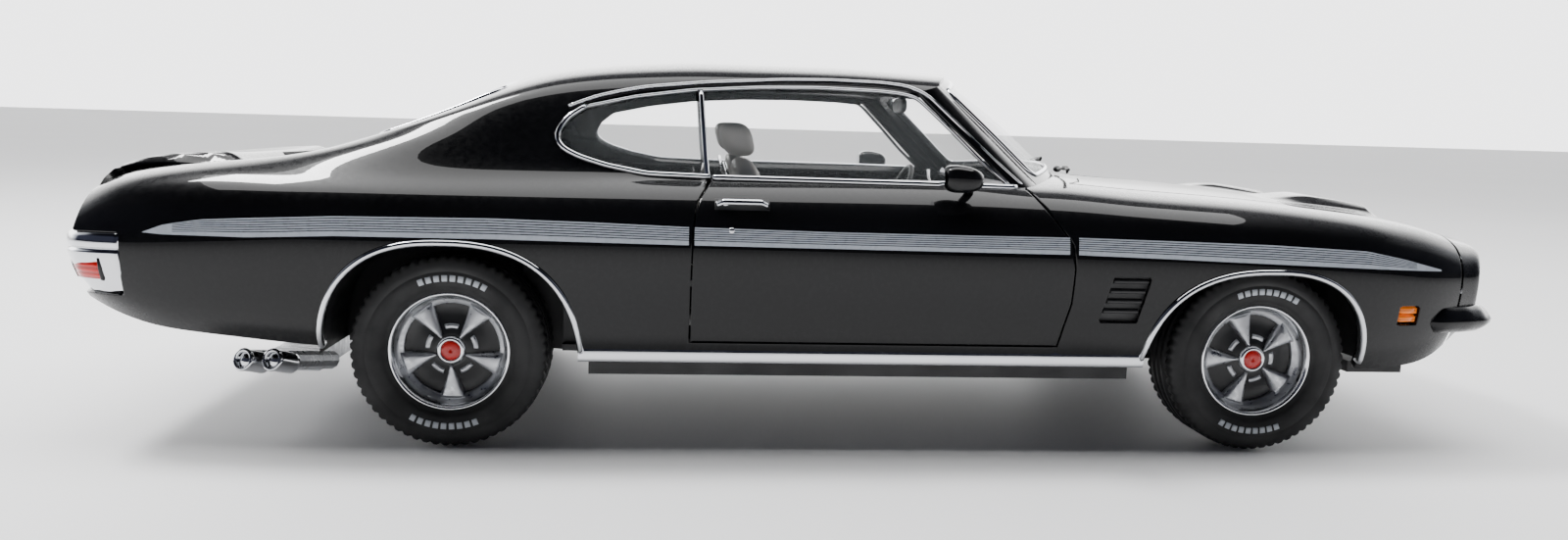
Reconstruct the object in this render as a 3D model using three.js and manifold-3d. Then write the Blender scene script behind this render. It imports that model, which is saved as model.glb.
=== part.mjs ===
// A 1:18 collector model of a two-door hardtop coupe: a diecast body with opening doors, bonnet and boot lid,
// steered front wheels, a live rear axle, tilting seat backs, a moulded chassis and a fitted cabin.
// Millimetres, +X to the nose, +Y to the car's left, +Z up; the origin is on the ground, midway along the model.
import * as THREE from "three";
import { mergeVertices } from "three/addons/utils/BufferGeometryUtils.js";
import { ConvexGeometry } from "three/addons/geometries/ConvexGeometry.js";
import Module from "manifold-3d";

const wasm = await Module();
wasm.setup();

// ---------------------------------------------------------------- driving dimensions
const WHEELBASE = 158;
const REAR_OVERHANG = 71.5;
const FRONT_OVERHANG = 57;
const HALF_WIDTH = 54.2; // at the widest line of the body side
const ROOF_HEIGHT = 75.6;
const WALL = 1.6; // cast body wall
const DOOR_WALL = 3.2; // door casting with its inner card
const PANEL_GAP = 0.4; // round every opening panel
const CLEARANCE = 0.35; // between two pieces that are fitted together
const TYRE_RADIUS = 18.3;
const TYRE_WIDTH = 12.4;
const RIM_RADIUS = 11.3; // outside of the bright rim lip
const AXLE_RADIUS = 1.5;
const RUNNING = 0.25; // radial clearance round a turning shaft
const HALF_TRACK = 43.1; // to the middle of each tyre
const KINGPIN_Y = 33;
const KINGPIN_RADIUS = 1.2;
const STEER_ARM = 7; // from kingpin back to the tie rod's peg
const GLASS = 1.0; // clear moulding
const TRIM = 0.7; // how far a bright moulding stands off the body

const LENGTH = WHEELBASE + REAR_OVERHANG + FRONT_OVERHANG;
const TAIL_X = -LENGTH / 2;
const NOSE_X = LENGTH / 2;
const REAR_AXLE_X = TAIL_X + REAR_OVERHANG;
const FRONT_AXLE_X = REAR_AXLE_X + WHEELBASE;
const AXLE_Z = TYRE_RADIUS;

// The outline below is drawn at these design sizes, and follows the driving dimensions through px, py and pz.
const DESIGN = { rearAxle: -71.75, frontAxle: 86.25, tail: -143.25, nose: 143.25, halfWidth: 54.2, sill: 17.2, roof: 75.6 };

function px(x) {
  if (x < DESIGN.rearAxle) {
    return REAR_AXLE_X + ((x - DESIGN.rearAxle) * REAR_OVERHANG) / (DESIGN.rearAxle - DESIGN.tail);
  }
  if (x > DESIGN.frontAxle) {
    return FRONT_AXLE_X + ((x - DESIGN.frontAxle) * FRONT_OVERHANG) / (DESIGN.nose - DESIGN.frontAxle);
  }
  return REAR_AXLE_X + ((x - DESIGN.rearAxle) * WHEELBASE) / (DESIGN.frontAxle - DESIGN.rearAxle);
}
const py = (y) => (y * HALF_WIDTH) / DESIGN.halfWidth;
const pz = (z) =>
  z < DESIGN.sill ? z : DESIGN.sill + ((z - DESIGN.sill) * (ROOF_HEIGHT - DESIGN.sill)) / (DESIGN.roof - DESIGN.sill);

// ---------------------------------------------------------------- solids
function solid(geometry) {
  const g = geometry.clone();
  for (const name of Object.keys(g.attributes)) {
    if (name !== "position") g.deleteAttribute(name);
  }
  const merged = mergeVertices(g, 1e-4);
  const index = merged.index ?? mergeVertices(merged).index;
  const made = new wasm.Manifold(
    new wasm.Mesh({ numProp: 3, vertProperties: merged.attributes.position.array, triVerts: new Uint32Array(index.array) }),
  );
  return made;
}

function geometryOf(manifold) {
  const mesh = manifold.getMesh();
  const positions = new Float32Array(mesh.numVert * 3);
  for (let i = 0; i < mesh.numVert; i++) {
    positions.set(mesh.vertProperties.subarray(i * mesh.numProp, i * mesh.numProp + 3), i * 3);
  }
  const g = new THREE.BufferGeometry();
  g.setAttribute("position", new THREE.BufferAttribute(positions, 3));
  g.setIndex(new THREE.BufferAttribute(new Uint32Array(mesh.triVerts), 1));
  return g;
}

const union = (parts) => parts.reduce((a, b) => a.add(b));
const cut = (body, tools) => tools.reduce((a, b) => a.subtract(b), body);

// Keeps the largest separate body, so that a boolean leaves no loose chip behind.
function largest(manifold) {
  return manifold.decompose().reduce((a, b) => (a.volume() > b.volume() ? a : b));
}

function mirrored(manifold) {
  const m = new THREE.Matrix4().makeScale(1, -1, 1);
  const g = geometryOf(manifold).applyMatrix4(m);
  const index = g.index.array;
  for (let i = 0; i < index.length; i += 3) {
    [index[i + 1], index[i + 2]] = [index[i + 2], index[i + 1]];
  }
  return solid(g);
}

const moved = (geometry, x = 0, y = 0, z = 0) => geometry.clone().translate(x, y, z);

// A box given by its lowest and highest corners.
function box(x0, y0, z0, x1, y1, z1) {
  return solid(moved(new THREE.BoxGeometry(x1 - x0, y1 - y0, z1 - z0), (x0 + x1) / 2, (y0 + y1) / 2, (z0 + z1) / 2));
}

// A cylinder from one point to another.
function rod(a, b, radius, sides = 16, endRadius = radius) {
  const from = new THREE.Vector3(...a);
  const to = new THREE.Vector3(...b);
  const axis = to.clone().sub(from);
  const g = new THREE.CylinderGeometry(endRadius, radius, axis.length(), sides);
  g.translate(0, axis.length() / 2, 0);
  g.applyQuaternion(new THREE.Quaternion().setFromUnitVectors(new THREE.Vector3(0, 1, 0), axis.normalize()));
  return solid(g.translate(from.x, from.y, from.z));
}

// A side-view outline of [x, z] points, as a prism from y0 to y1.
function sidePrism(points, y0, y1) {
  const shape = new THREE.Shape(points.map(([x, z]) => new THREE.Vector2(x, z)));
  const g = new THREE.ExtrudeGeometry(shape, { depth: y1 - y0, bevelEnabled: false });
  return solid(g.rotateX(Math.PI / 2).translate(0, y1, 0));
}

// A plan outline of [x, y] points, as a prism from z0 to z1.
function planPrism(points, z0, z1) {
  const shape = new THREE.Shape(points.map(([x, y]) => new THREE.Vector2(x, y)));
  const g = new THREE.ExtrudeGeometry(shape, { depth: z1 - z0, bevelEnabled: false });
  return solid(g.translate(0, 0, z0));
}

// A [radius, y] profile turned about the Y axis.
function lathe(profile, sides) {
  return solid(new THREE.LatheGeometry(profile.map(([r, y]) => new THREE.Vector2(r, y)), sides));
}

// Grows (or with a negative amount shrinks) an outline by moving each point along its mitred normal.
function grown(points, amount) {
  const area = THREE.ShapeUtils.area(points.map(([x, y]) => new THREE.Vector2(x, y)));
  const side = area > 0 ? 1 : -1;
  return points.map(([x, y], i) => {
    const [ax, ay] = points[(i + points.length - 1) % points.length];
    const [bx, by] = points[(i + 1) % points.length];
    const u = new THREE.Vector2(x - ax, y - ay).normalize();
    const v = new THREE.Vector2(bx - x, by - y).normalize();
    const n = new THREE.Vector2(u.y + v.y, -(u.x + v.x)).normalize();
    const mitre = Math.max(0.5, n.dot(new THREE.Vector2(u.y, -u.x)));
    return [x + (n.x * amount * side) / mitre, y + (n.y * amount * side) / mitre];
  });
}

// ---------------------------------------------------------------- body surface
// Each rail is a line that runs the length of the body, as [x, y, z] design points on the car's left.
const SIDE_RAILS = [
  [[-144, 42, 31], [-133, 46, 25.2], [-124, 47.5, 22.4], [-110, 48.5, 20.8], [-95, 49, 19.4], [-60, 49.3, 17.4],
    [0, 49.3, 17.2], [60, 49.3, 17.2], [105, 48.8, 17], [118, 47.5, 17.6], [126, 45.5, 19.8], [131, 44, 24.5], [144, 40, 29]],
  [[-144, 45, 32.5], [-133, 48.4, 28], [-124, 49.8, 25.4], [-110, 50.8, 23.6], [-95, 51.3, 22], [-60, 51.5, 20.6],
    [60, 51.5, 20.5], [105, 50.8, 20.5], [118, 49.2, 21], [126, 47.2, 23], [131, 45.4, 26.5], [144, 41, 30]],
  [[-144, 46.2, 34.5], [-133, 49.6, 30.5], [-124, 51, 28.8], [-110, 52, 27.4], [-95, 52.7, 26.6], [-60, 53.1, 26],
    [60, 53.1, 26], [105, 52.4, 26.2], [118, 50.6, 26.6], [126, 48.4, 27.6], [131, 46.4, 29], [144, 42, 31.5]],
  [[-144, 46.8, 37.4], [-133, 50.6, 35.6], [-124, 52.2, 35], [-110, 53.4, 34.6], [-95, 54.1, 34.4], [-60, 54.4, 34.4],
    [60, 54.4, 34.4], [105, 53.7, 34.2], [118, 51.8, 33.8], [126, 49.4, 33.6], [131, 47.4, 33.8], [144, 43, 35]],
  [[-144, 46.2, 40.2], [-133, 50.2, 41.4], [-124, 51.8, 41.9], [-110, 53.2, 42.2], [-95, 54.1, 42.4], [-60, 54.4, 42.4],
    [60, 54.3, 42], [105, 53.3, 41], [118, 51.2, 39.8], [126, 48.9, 38.9], [131, 46.9, 38.4], [144, 43, 37.6]],
  [[-144, 43.5, 42.6], [-133, 47.6, 46.2], [-124, 49.5, 47.2], [-110, 51, 47.8], [-95, 52, 48], [-60, 52.2, 48.2],
    [20, 51.7, 48.2], [60, 51.4, 47.6], [105, 49.8, 45.6], [118, 47.8, 44.2], [126, 45.8, 42.9], [131, 44.2, 41.6], [144, 41, 39.4]],
  [[-144, 40.5, 43.6], [-133, 44, 48.6], [-124, 45.6, 50.2], [-110, 46.5, 51.2], [-95, 47.4, 51], [-80, 47.8, 50.7],
    [-60, 47.6, 50.9], [-20, 47.2, 51.3], [20, 47, 51.5], [45, 46.6, 51.2], [60, 46, 50.4], [85, 44.8, 49.4],
    [105, 43.4, 47.8], [118, 41.8, 46.2], [126, 40.4, 44.6], [131, 39.4, 43], [144, 37, 40.4]],
];
// The cabin, sail panel and rear deck, from the belt line to the centre.
const REAR_RAILS = [
  [[-144, 37.5, 44.4], [-133, 40, 49.4], [-125, 41.4, 51], [-115, 42.4, 52.2], [-105, 43, 53], [-90, 44, 54], [-75, 44.6, 54.6],
    [-62, 45, 54], [-52, 45, 53.6], [-40, 44.9, 52.6], [-24, 44.8, 51.9], [0, 44.6, 52.2], [30, 44.2, 52.4]],
  [[-144, 33.5, 45.6], [-133, 36, 50.2], [-125, 37, 51.6], [-115, 38.5, 52.8], [-105, 39.5, 53.9], [-90, 41, 56.2],
    [-75, 41.8, 58.4], [-62, 42, 59.6], [-52, 42, 60.4], [-24, 42, 60.8], [0, 42, 61], [30, 41.6, 61]],
  [[-144, 28, 46.6], [-133, 30, 50.4], [-125, 32, 51.2], [-115, 34, 52.2], [-105, 35.5, 53.6], [-90, 37.6, 57.4],
    [-75, 38.6, 61.4], [-62, 38.8, 65], [-52, 38.6, 67], [-40, 38.3, 68.2], [-24, 38.3, 68.8], [0, 38.4, 69.2], [30, 38.4, 69]],
  [[-144, 21, 47], [-133, 22, 50.6], [-125, 23, 51], [-115, 26, 51.6], [-105, 30, 52.8], [-90, 34.5, 57.8], [-75, 36, 63.4],
    [-62, 35.6, 68.2], [-52, 35, 70.8], [-40, 34.6, 72.2], [-24, 34.6, 73], [0, 34.5, 73.2], [30, 34.5, 72.4]],
  [[-144, 11, 47.2], [-133, 12, 50.6], [-125, 12, 50.8], [-115, 13, 51.2], [-105, 15, 52.6], [-90, 17, 57], [-75, 18, 63.6],
    [-62, 18, 70.8], [-52, 18, 73.2], [-40, 18, 74.6], [-24, 18, 75.4], [0, 18, 75.4], [30, 17, 74]],
  [[-144, 0, 47.2], [-133, 0, 50.6], [-125, 0, 50.8], [-115, 0, 51.2], [-105, 0, 52.4], [-90, 0, 56.8], [-75, 0, 63.8],
    [-62, 0, 71.2], [-52, 0, 73.6], [-40, 0, 75], [-24, 0, 75.8], [0, 0, 75.8], [30, 0, 74.4]],
];
// The scuttle and bonnet, from the wing's crest to the centre.
const FRONT_RAILS = [
  [[10, 40.5, 52], [35, 40, 52.2], [45, 38.5, 52.4], [60, 37.5, 51.5], [85, 36.5, 49.9], [105, 35.4, 48.1], [118, 34.4, 46.6],
    [126, 33.6, 45], [131, 33, 43.6], [144, 31, 41]],
  [[10, 26, 53], [35, 26, 53.4], [45, 25.5, 53.6], [60, 25, 52.4], [85, 24.5, 50.9], [105, 24, 49.2], [118, 23.5, 47.5],
    [126, 23, 45.8], [131, 22.8, 44.4], [144, 22, 41.4]],
  [[10, 0, 53.4], [35, 0, 54], [45, 0, 54.2], [60, 0, 52.8], [85, 0, 51.3], [105, 0, 49.7], [118, 0, 48], [126, 0, 46.3],
    [131, 0, 44.8], [144, 0, 41.8]],
];
const RAIL_SMOOTHING = 3; // mm either side over which a rail is averaged
const SMOOTHING_WEIGHTS = [0.25, 0.5, 0.25];

// A monotone cubic through [x, value] pairs, held level beyond its ends.
function monotone(points) {
  const n = points.length;
  const slope = [];
  for (let i = 0; i < n - 1; i++) slope.push((points[i + 1][1] - points[i][1]) / (points[i + 1][0] - points[i][0]));
  const tangent = points.map((_, i) => {
    if (i === 0) return slope[0];
    if (i === n - 1) return slope[n - 2];
    const [a, b] = [slope[i - 1], slope[i]];
    return a * b <= 0 ? 0 : (2 * a * b) / (a + b);
  });
  return (x) => {
    let i = 0;
    while (i < n - 2 && x > points[i + 1][0]) i++;
    const h = points[i + 1][0] - points[i][0];
    const t = Math.min(1, Math.max(0, (x - points[i][0]) / h));
    const [t2, t3] = [t * t, t * t * t];
    return (
      (2 * t3 - 3 * t2 + 1) * points[i][1] + (t3 - 2 * t2 + t) * h * tangent[i] +
      (3 * t2 - 2 * t3) * points[i + 1][1] + (t3 - t2) * h * tangent[i + 1]
    );
  };
}

function smoothed(points) {
  const f = monotone(points);
  return (x) => SMOOTHING_WEIGHTS.reduce((sum, w, i) => sum + w * f(x + (i - 1) * RAIL_SMOOTHING), 0);
}

const railsOf = (rails) =>
  rails.map((rail) => ({ y: smoothed(rail.map(([x, y]) => [x, y])), z: smoothed(rail.map(([x, , z]) => [x, z])) }));

// Cubic B-spline through a control polygon, clamped at both ends.
function bspline(controls, count) {
  const c = [controls[0], controls[0], ...controls, controls.at(-1), controls.at(-1)];
  const spans = c.length - 3;
  const out = [];
  for (let k = 0; k <= count; k++) {
    const s = Math.min((k / count) * spans, spans - 1e-9);
    const i = Math.floor(s);
    const t = s - i;
    const w = [(1 - t) ** 3, 3 * t ** 3 - 6 * t * t + 4, -3 * t ** 3 + 3 * t * t + 3 * t + 1, t ** 3];
    out.push([0, 1].map((a) => w.reduce((sum, wi, j) => sum + (wi * c[i + j][a]) / 6, 0)));
  }
  return out;
}

const SECTION_POINTS = 13;
const INSIDE_POINTS = 8; // the inside of the casting is plainer than its outside

// Half a cross-section at design station x, from sill to centre, inset along its normals.
function halfSection(rails, x, inset) {
  const points = bspline(rails.map((r) => [py(r.y(x)), pz(r.z(x))]), inset > 1 ? INSIDE_POINTS : SECTION_POINTS);
  points[points.length - 1][0] = 0;
  if (inset === 0) return points;
  return points.map(([y, z], i) => {
    const a = points[Math.max(0, i - 1)];
    const b = points[Math.min(points.length - 1, i + 1)];
    const n = new THREE.Vector2(a[1] - b[1], b[0] - a[0]).normalize();
    return i === points.length - 1 ? [0, z - inset] : [Math.max(0.2, y + n.x * inset), z + n.y * inset];
  });
}

// A closed solid lofted through cross-sections at the given design stations.
function loft(railPoints, stations, inset = 0, drop = 0) {
  const rails = railsOf(railPoints);
  const rings = stations.map((x) => {
    const half = halfSection(rails, x, inset);
    const left = drop > 0 ? [[half[0][0], half[0][1] - drop], ...half] : half;
    const right = left.slice(0, -1).reverse().map(([y, z]) => [-y, z]);
    return [...left, ...right].map(([y, z]) => [px(x), y, z]);
  });
  const size = rings[0].length;
  const positions = rings.flat(2);
  const index = [];
  for (let i = 0; i < rings.length - 1; i++) {
    for (let j = 0; j < size; j++) {
      const k = (j + 1) % size;
      const [a, b, c, d] = [i * size + j, i * size + k, (i + 1) * size + k, (i + 1) * size + j];
      index.push(a, b, c, a, c, d);
    }
  }
  const cap = (start, flip) => {
    const ring = rings[start / size].map(([, y, z]) => new THREE.Vector2(y, z));
    for (const [a, b, c] of THREE.ShapeUtils.triangulateShape(ring, [])) {
      index.push(start + a, start + (flip ? c : b), start + (flip ? b : c));
    }
  };
  cap(0, true);
  cap((rings.length - 1) * size, false);
  const g = new THREE.BufferGeometry();
  g.setAttribute("position", new THREE.BufferAttribute(new Float32Array(positions), 3));
  g.setIndex(index);
  let made = solid(g);
  if (made.volume() < 0) {
    for (let i = 0; i < index.length; i += 3) [index[i + 1], index[i + 2]] = [index[i + 2], index[i + 1]];
    g.setIndex(index);
    made = solid(g);
  }
  return made;
}

const REAR_STATIONS = [
  -141.5, -136, -130, -121, -111, -102, -95, -88, -80, -72, -65, -58, -50, -38, -22, -4, 12, 20, 28,
];
const FRONT_STATIONS = [12, 32, 46, 58, 74, 90, 104, 115, 123, 129, 135, 143.25];

// The screen: a convex block between the scuttle and the front of the roof.
const SCREEN = {
  base: (s) => [px(55 - 13 * s * s), py(40 * s), pz(53.4 - 1.6 * s * s)],
  top: (s) => [px(28.5 - 6.5 * s * s), py(36 * s), pz(74.2 - 3.2 * s * s)],
  steps: [-1, -0.8, -0.55, -0.28, 0, 0.28, 0.55, 0.8, 1],
};

function screenBlock(sink = 0) {
  const points = [];
  const shift = new THREE.Vector3(0.6, 0, 0.8).multiplyScalar(-sink);
  const side = sink * 0.9;
  const push = ([x, y, z]) => points.push(new THREE.Vector3(x + shift.x, y - Math.sign(y) * side, z + shift.z));
  for (const s of SCREEN.steps) {
    push(SCREEN.base(s));
    push(SCREEN.top(s));
  }
  for (const s of [-1, 1]) {
    push([px(12), py(35 * s), pz(70.2)]);
    push([px(12), py(41 * s), pz(60)]);
    push([px(12), py(43 * s), pz(52)]);
    push([px(12), py(40 * s), pz(47)]);
    push([px(42), py(40 * s), pz(49)]);
  }
  return solid(new ConvexGeometry(points));
}

function bodyVolume(inset, drop) {
  const ends = inset > 0 ? inset * 1.2 : 0;
  const plainer = (x, i) => inset <= 1 || i % 2 === 1;
  const clip = (list, a, b) => [a, ...list.filter((x) => x > a + 1 && x < b - 1).filter(plainer), b];
  const rear = loft([...SIDE_RAILS, ...REAR_RAILS], clip(REAR_STATIONS, REAR_STATIONS[0] + ends, 28 - ends), inset, drop);
  const front = loft([...SIDE_RAILS, ...FRONT_RAILS], clip(FRONT_STATIONS, 12 + ends, 143.25 - ends), inset, drop);
  return union([rear, front, screenBlock(inset)]);
}

const outer = bodyVolume(0, 0);
const inner = bodyVolume(WALL, 12);
const doorInner = bodyVolume(DOOR_WALL, 12);

// ---------------------------------------------------------------- outlines
const outline = (points) => points.map(([x, z]) => [px(x), pz(z)]);
const plan = (half) => {
  const left = half.map(([x, y]) => [px(x), py(y)]);
  const right = left.slice().reverse().filter(([, y]) => y > 0).map(([x, y]) => [x, -y]);
  return [...left, ...right];
};

const DOOR = outline([
  [-27, 21.2], [44.2, 21.2], [44.9, 25.5], [45.9, 30], [46.1, 36.8], [45.5, 41.5], [43, 45], [40.6, 48.3], [38, 52],
  [34, 53], [-23, 52.6], [-24.4, 50.4], [-25.6, 48.4], [-26.3, 46], [-26.7, 40], [-26.9, 31],
]);
const SIDE_WINDOW = outline([
  [34.6, 52.3], [16.6, 69.1], [10, 69.4], [-2, 69.6], [-14, 69.3], [-27, 68.5], [-38, 66.9], [-47.5, 64.9], [-50.6, 62.4],
  [-52.4, 59.4], [-51.6, 57.2], [-48.3, 55.6], [-42.8, 54], [-35.5, 52.7], [-24, 52.3], [-4, 52.3],
]);
const DOOR_GLASS = outline([
  [34, 52.3], [16.6, 69.1], [10, 69.4], [-2, 69.6], [-14, 69.3], [-25.6, 68.6], [-23.2, 52.3], [0, 52.3],
]);
const QUARTER_GLASS = outline([
  [-25.5, 52.3], [-27.9, 68.4], [-38, 66.9], [-47.5, 64.9], [-50.6, 62.4], [-52.4, 59.4], [-51.6, 57.2], [-48.3, 55.6],
  [-42.8, 54], [-35.5, 52.7],
]);
const BONNET = plan([[59.5, 0], [57.8, 18], [53.5, 31], [49.2, 37.2], [60, 36.8], [85, 35.8], [105, 34.8], [118, 33.6], [124.6, 31.4], [126.6, 27], [127.4, 0]]);
const BOOT_LID = plan([
  [-95.5, 0], [-95.8, 18], [-96.4, 28.6], [-97.6, 30.2], [-100, 31], [-120, 30.6], [-133, 29.4], [-139.2, 28.6], [-139.6, 0],
]);
const NOSE_PLAN = plan([
  [110, 54], [121, 52.6], [128.6, 50], [131, 48.4], [133.2, 46.4], [134.6, 43.4], [135.4, 38], [136.2, 28], [137, 14],
  [138.4, 8], [141.2, 4], [143.25, 0],
]);
const BUMPER_PLAN = plan([
  [110, 52.6], [118, 51.2], [126, 49.3], [131, 47.4], [133.6, 45.6], [135.2, 42.6], [136.2, 38], [137.2, 28], [138.2, 14],
  [139.4, 8], [141.4, 4], [142.6, 0],
]);
const TAIL_PLAN = plan([
  [-143.25, 0], [-143, 15], [-142.5, 30], [-141.6, 41], [-140.3, 46], [-138, 48.4], [-134, 50.2], [-128.8, 51.3], [-100, 55],
]);
const NOSE_SIDE = outline([
  [100, 90], [100, 5], [120, 16.9], [125, 17.2], [131, 19], [137, 22.5], [141.5, 27], [143.25, 32], [143.25, 36], [142.6, 39],
  [140.2, 41.8], [136, 43.9], [128, 47], [120, 60],
]);
const BUMPER_SIDE = outline([
  [-90, 28.4], [-137, 28.4], [-139.5, 30.4], [-141, 31.8], [-143.25, 35.4], [-143.25, 38.4], [-142.6, 40], [-90, 40],
]);
const TAIL_SIDE = outline([[-141.9, 5], [-141.9, 40.2], [-139.6, 51.6], [-136, 90], [200, 90], [200, 5]]);
const VENT = outline([[53.6, 35.5], [61.1, 35.5], [59.1, 26.5], [51.3, 26.5]]);

// Half of a wheel opening's edge, as a superellipse about the axle; side is -1 behind it and 1 ahead.
function archOutline(axleX, behind, ahead, height, grow = 0) {
  const points = [];
  const STEPS = 16;
  for (let k = 0; k <= STEPS; k++) {
    const a = (Math.PI * k) / STEPS;
    const c = Math.cos(a);
    const s = Math.sin(a);
    const reach = c > 0 ? ahead : behind;
    const e = 2 / 2.5;
    points.push([
      axleX + Math.sign(c) * Math.abs(c) ** e * (reach + grow),
      ARCH_SPRING + Math.abs(s) ** e * (height - ARCH_SPRING + grow),
    ]);
  }
  return points;
}
const ARCH_SPRING = 15; // level from which the wheel openings rise
const REAR_ARCH = { x: REAR_AXLE_X, behind: 22.6, ahead: 24.4, height: pz(39.2) };
const FRONT_ARCH = { x: FRONT_AXLE_X, behind: 24.6, ahead: 20.4, height: pz(36.6) };
const archPoints = (arch, grow = 0) => archOutline(arch.x, arch.behind, arch.ahead, arch.height, grow);
const archTool = (arch) => {
  const points = archPoints(arch);
  return sidePrism([...points, [points.at(-1)[0], 5], [points[0][0], 5]], -py(60), py(60));
};

// Prism across the car, square to a line in the side view, for the screen and the rear window.
function slantPrism([x0, z0], [x1, z1], halfLow, halfHigh, margin, depth) {
  const length = Math.hypot(x1 - x0, z1 - z0);
  const g = new THREE.ExtrudeGeometry(
    new THREE.Shape([
      new THREE.Vector2(margin, -halfLow + margin),
      new THREE.Vector2(length - margin, -halfHigh + margin),
      new THREE.Vector2(length - margin, halfHigh - margin),
      new THREE.Vector2(margin, halfLow - margin),
    ]),
    { depth: 2 * depth, bevelEnabled: false },
  );
  g.translate(0, 0, -depth);
  const u = new THREE.Vector3((x1 - x0) / length, 0, (z1 - z0) / length);
  const v = new THREE.Vector3(0, 1, 0);
  const w = u.clone().cross(v);
  g.applyMatrix4(new THREE.Matrix4().makeBasis(u, v, w));
  return solid(g.translate(x0, 0, z0));
}
const SCREEN_DEPTH = 16;
const screenHole = (margin) =>
  slantPrism([px(52.2), pz(55.4)], [px(28.2), pz(72.6)], py(37.2), py(33.6), margin, SCREEN_DEPTH);
const rearHole = (margin) => slantPrism([px(-88), pz(57.4)], [px(-65), pz(69.2)], py(31), py(29), margin, 9);


// ---------------------------------------------------------------- the object and its materials
const model = new THREE.Group();
const INKS = {
  black: [0x0a0a0c, 0.15, 0],
  chrome: [0xd8d8da, 0.12, 1],
  silver: [0xb4b6ba, 0.3, 0.9],
  glass: [0xbfd0d4, 0.05, 0],
  red: [0x8e1414, 0.25, 0],
  amber: [0xd06a18, 0.3, 0],
  lens: [0xe4e8ea, 0.1, 0],
  plastic: [0x141415, 0.6, 0],
  satin: [0x1c1c1e, 0.45, 0.1],
  trim: [0xa49d95, 0.7, 0],
  rubber: [0x111111, 0.85, 0],
  steel: [0x8d8f92, 0.35, 1],
  engine: [0x5b6f86, 0.5, 0.3],
};
const SIDES = [["right", -1], ["left", 1]];

function add(name, body, ink) {
  const [color, roughness, metalness] = INKS[ink];
  const mesh = new THREE.Mesh(geometryOf(body), new THREE.MeshStandardMaterial({ color, roughness, metalness }));
  mesh.name = name;
  model.add(mesh);
}

// Adds a piece drawn on the right-hand side, and its mirror image on the left.
function addPair(stem, body, ink) {
  add("right_" + stem, body, ink);
  add("left_" + stem, mirrored(body), ink);
}

// A box drawn at the design sizes.
const designBox = (x0, y0, z0, x1, y1, z1) => box(px(x0), py(y0), pz(z0), px(x1), py(y1), pz(z1));
const hull = (points) => solid(new ConvexGeometry(points.map((p) => new THREE.Vector3(...p))));
const layer = (outside, inside, drop = 12) => cut(bodyVolume(outside, 0), [bodyVolume(inside, drop)]);
const WIDE = HALF_WIDTH + 6;
const rightPrism = (points, inboard = py(28)) => sidePrism(points, -WIDE, -inboard);
const bothPrism = (points) => sidePrism(points, -WIDE, WIDE);

// Height of the body's top at a design station x and offset y.
function topHeight(rails, x, y) {
  const half = halfSection(railsOf(rails), x, 0);
  for (let i = half.length - 1; i > 0; i--) {
    const [a, b] = [half[i], half[i - 1]];
    if (py(y) >= a[0] && py(y) <= b[0]) return a[1] + ((py(y) - a[0]) / (b[0] - a[0] || 1)) * (b[1] - a[1]);
  }
  return half.at(-1)[1];
}

// ---------------------------------------------------------------- outer body
const HALF_GAP = PANEL_GAP / 2;
const DOOR_INBOARD = py(39);
const MOULDING = 0.75; // width of a wheel-opening moulding
const SNUG = 0.18; // between a moulding and the edge it follows
const BUMPER_WALL = 1.2;
const bumperZone = designBox(121.5, -60, 24.6, 150, 60, 30.2);
const bumperCore = planPrism(grown(BUMPER_PLAN, -BUMPER_WALL - SNUG), 0, 60);
const frontRecess = cut(bumperZone, [bumperCore]);
const NOSE_JOIN = px(127.9);
const TAIL_JOIN = px(-128.8);
const archTools = [REAR_ARCH, FRONT_ARCH].map((arch) => {
  const points = archPoints(arch, MOULDING + SNUG);
  return bothPrism([...points, [points.at(-1)[0], 5], [points[0][0], 5]]);
});
const markerHole = designBox(113, -60, 26.5, 117.7, -40, 30.4);
const ventPocket = rightPrism(VENT, py(45)).intersect(layer(-1, WALL / 2));
const windowHole = rightPrism(SIDE_WINDOW);
const doorHole = rightPrism(grown(DOOR, HALF_GAP), DOOR_INBOARD);
const sideCuts = [markerHole, ventPocket, windowHole, doorHole];

const skin = cut(outer, [inner]);
const shell = cut(skin.intersect(bothPrism(TAIL_SIDE)), [
  box(NOSE_JOIN, -WIDE, 0, NOSE_X + 5, WIDE, ROOF_HEIGHT + 5),
  box(TAIL_X - 5, -WIDE, pz(28.1), TAIL_JOIN + CLEARANCE, WIDE, pz(40.3)),
  planPrism(grown(BONNET, HALF_GAP), pz(42), ROOF_HEIGHT + 5),
  planPrism(grown(BOOT_LID, HALF_GAP), pz(46), ROOF_HEIGHT + 5),
  screenHole(0),
  rearHole(0),
  frontRecess,
  ...archTools,
  ...sideCuts,
  ...sideCuts.map(mirrored),
]);
add("body_shell", largest(shell), "black");

// ---------------------------------------------------------------- nose
const NOSE_WALL = 2.2;
const LAMP_RADIUS = 4.2;
const LAMP_CENTRES = [29.4, 39.2];
const LAMP_LEVEL = pz(35.3);
const noseOuter = outer.intersect(planPrism(NOSE_PLAN, 0, 90)).intersect(bothPrism(NOSE_SIDE));
const noseInner = inner.intersect(planPrism(grown(NOSE_PLAN, -NOSE_WALL), 0, 90)).intersect(
  bothPrism(NOSE_SIDE.map(([x, z]) => [x, z - (z > pz(38) ? NOSE_WALL : 0)])),
);
const noseHalf = noseOuter.intersect(box(NOSE_JOIN + CLEARANCE, -WIDE, 0, NOSE_X + 5, WIDE, 90));
const lampHoles = SIDES.flatMap(([, side]) =>
  LAMP_CENTRES.map((y) => rod([px(126), side * py(y), LAMP_LEVEL], [NOSE_X, side * py(y), LAMP_LEVEL], LAMP_RADIUS, 20)),
);
const grilleHoles = SIDES.map(([, side]) =>
  box(px(128), Math.min(side * py(4.6), side * py(23.6)), pz(31.4), NOSE_X + 5, Math.max(side * py(4.6), side * py(23.6)), pz(38.8)),
);
const inset = box(px(110), -WIDE, 0, px(129.4), WIDE, 90).intersect(inner);
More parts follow.
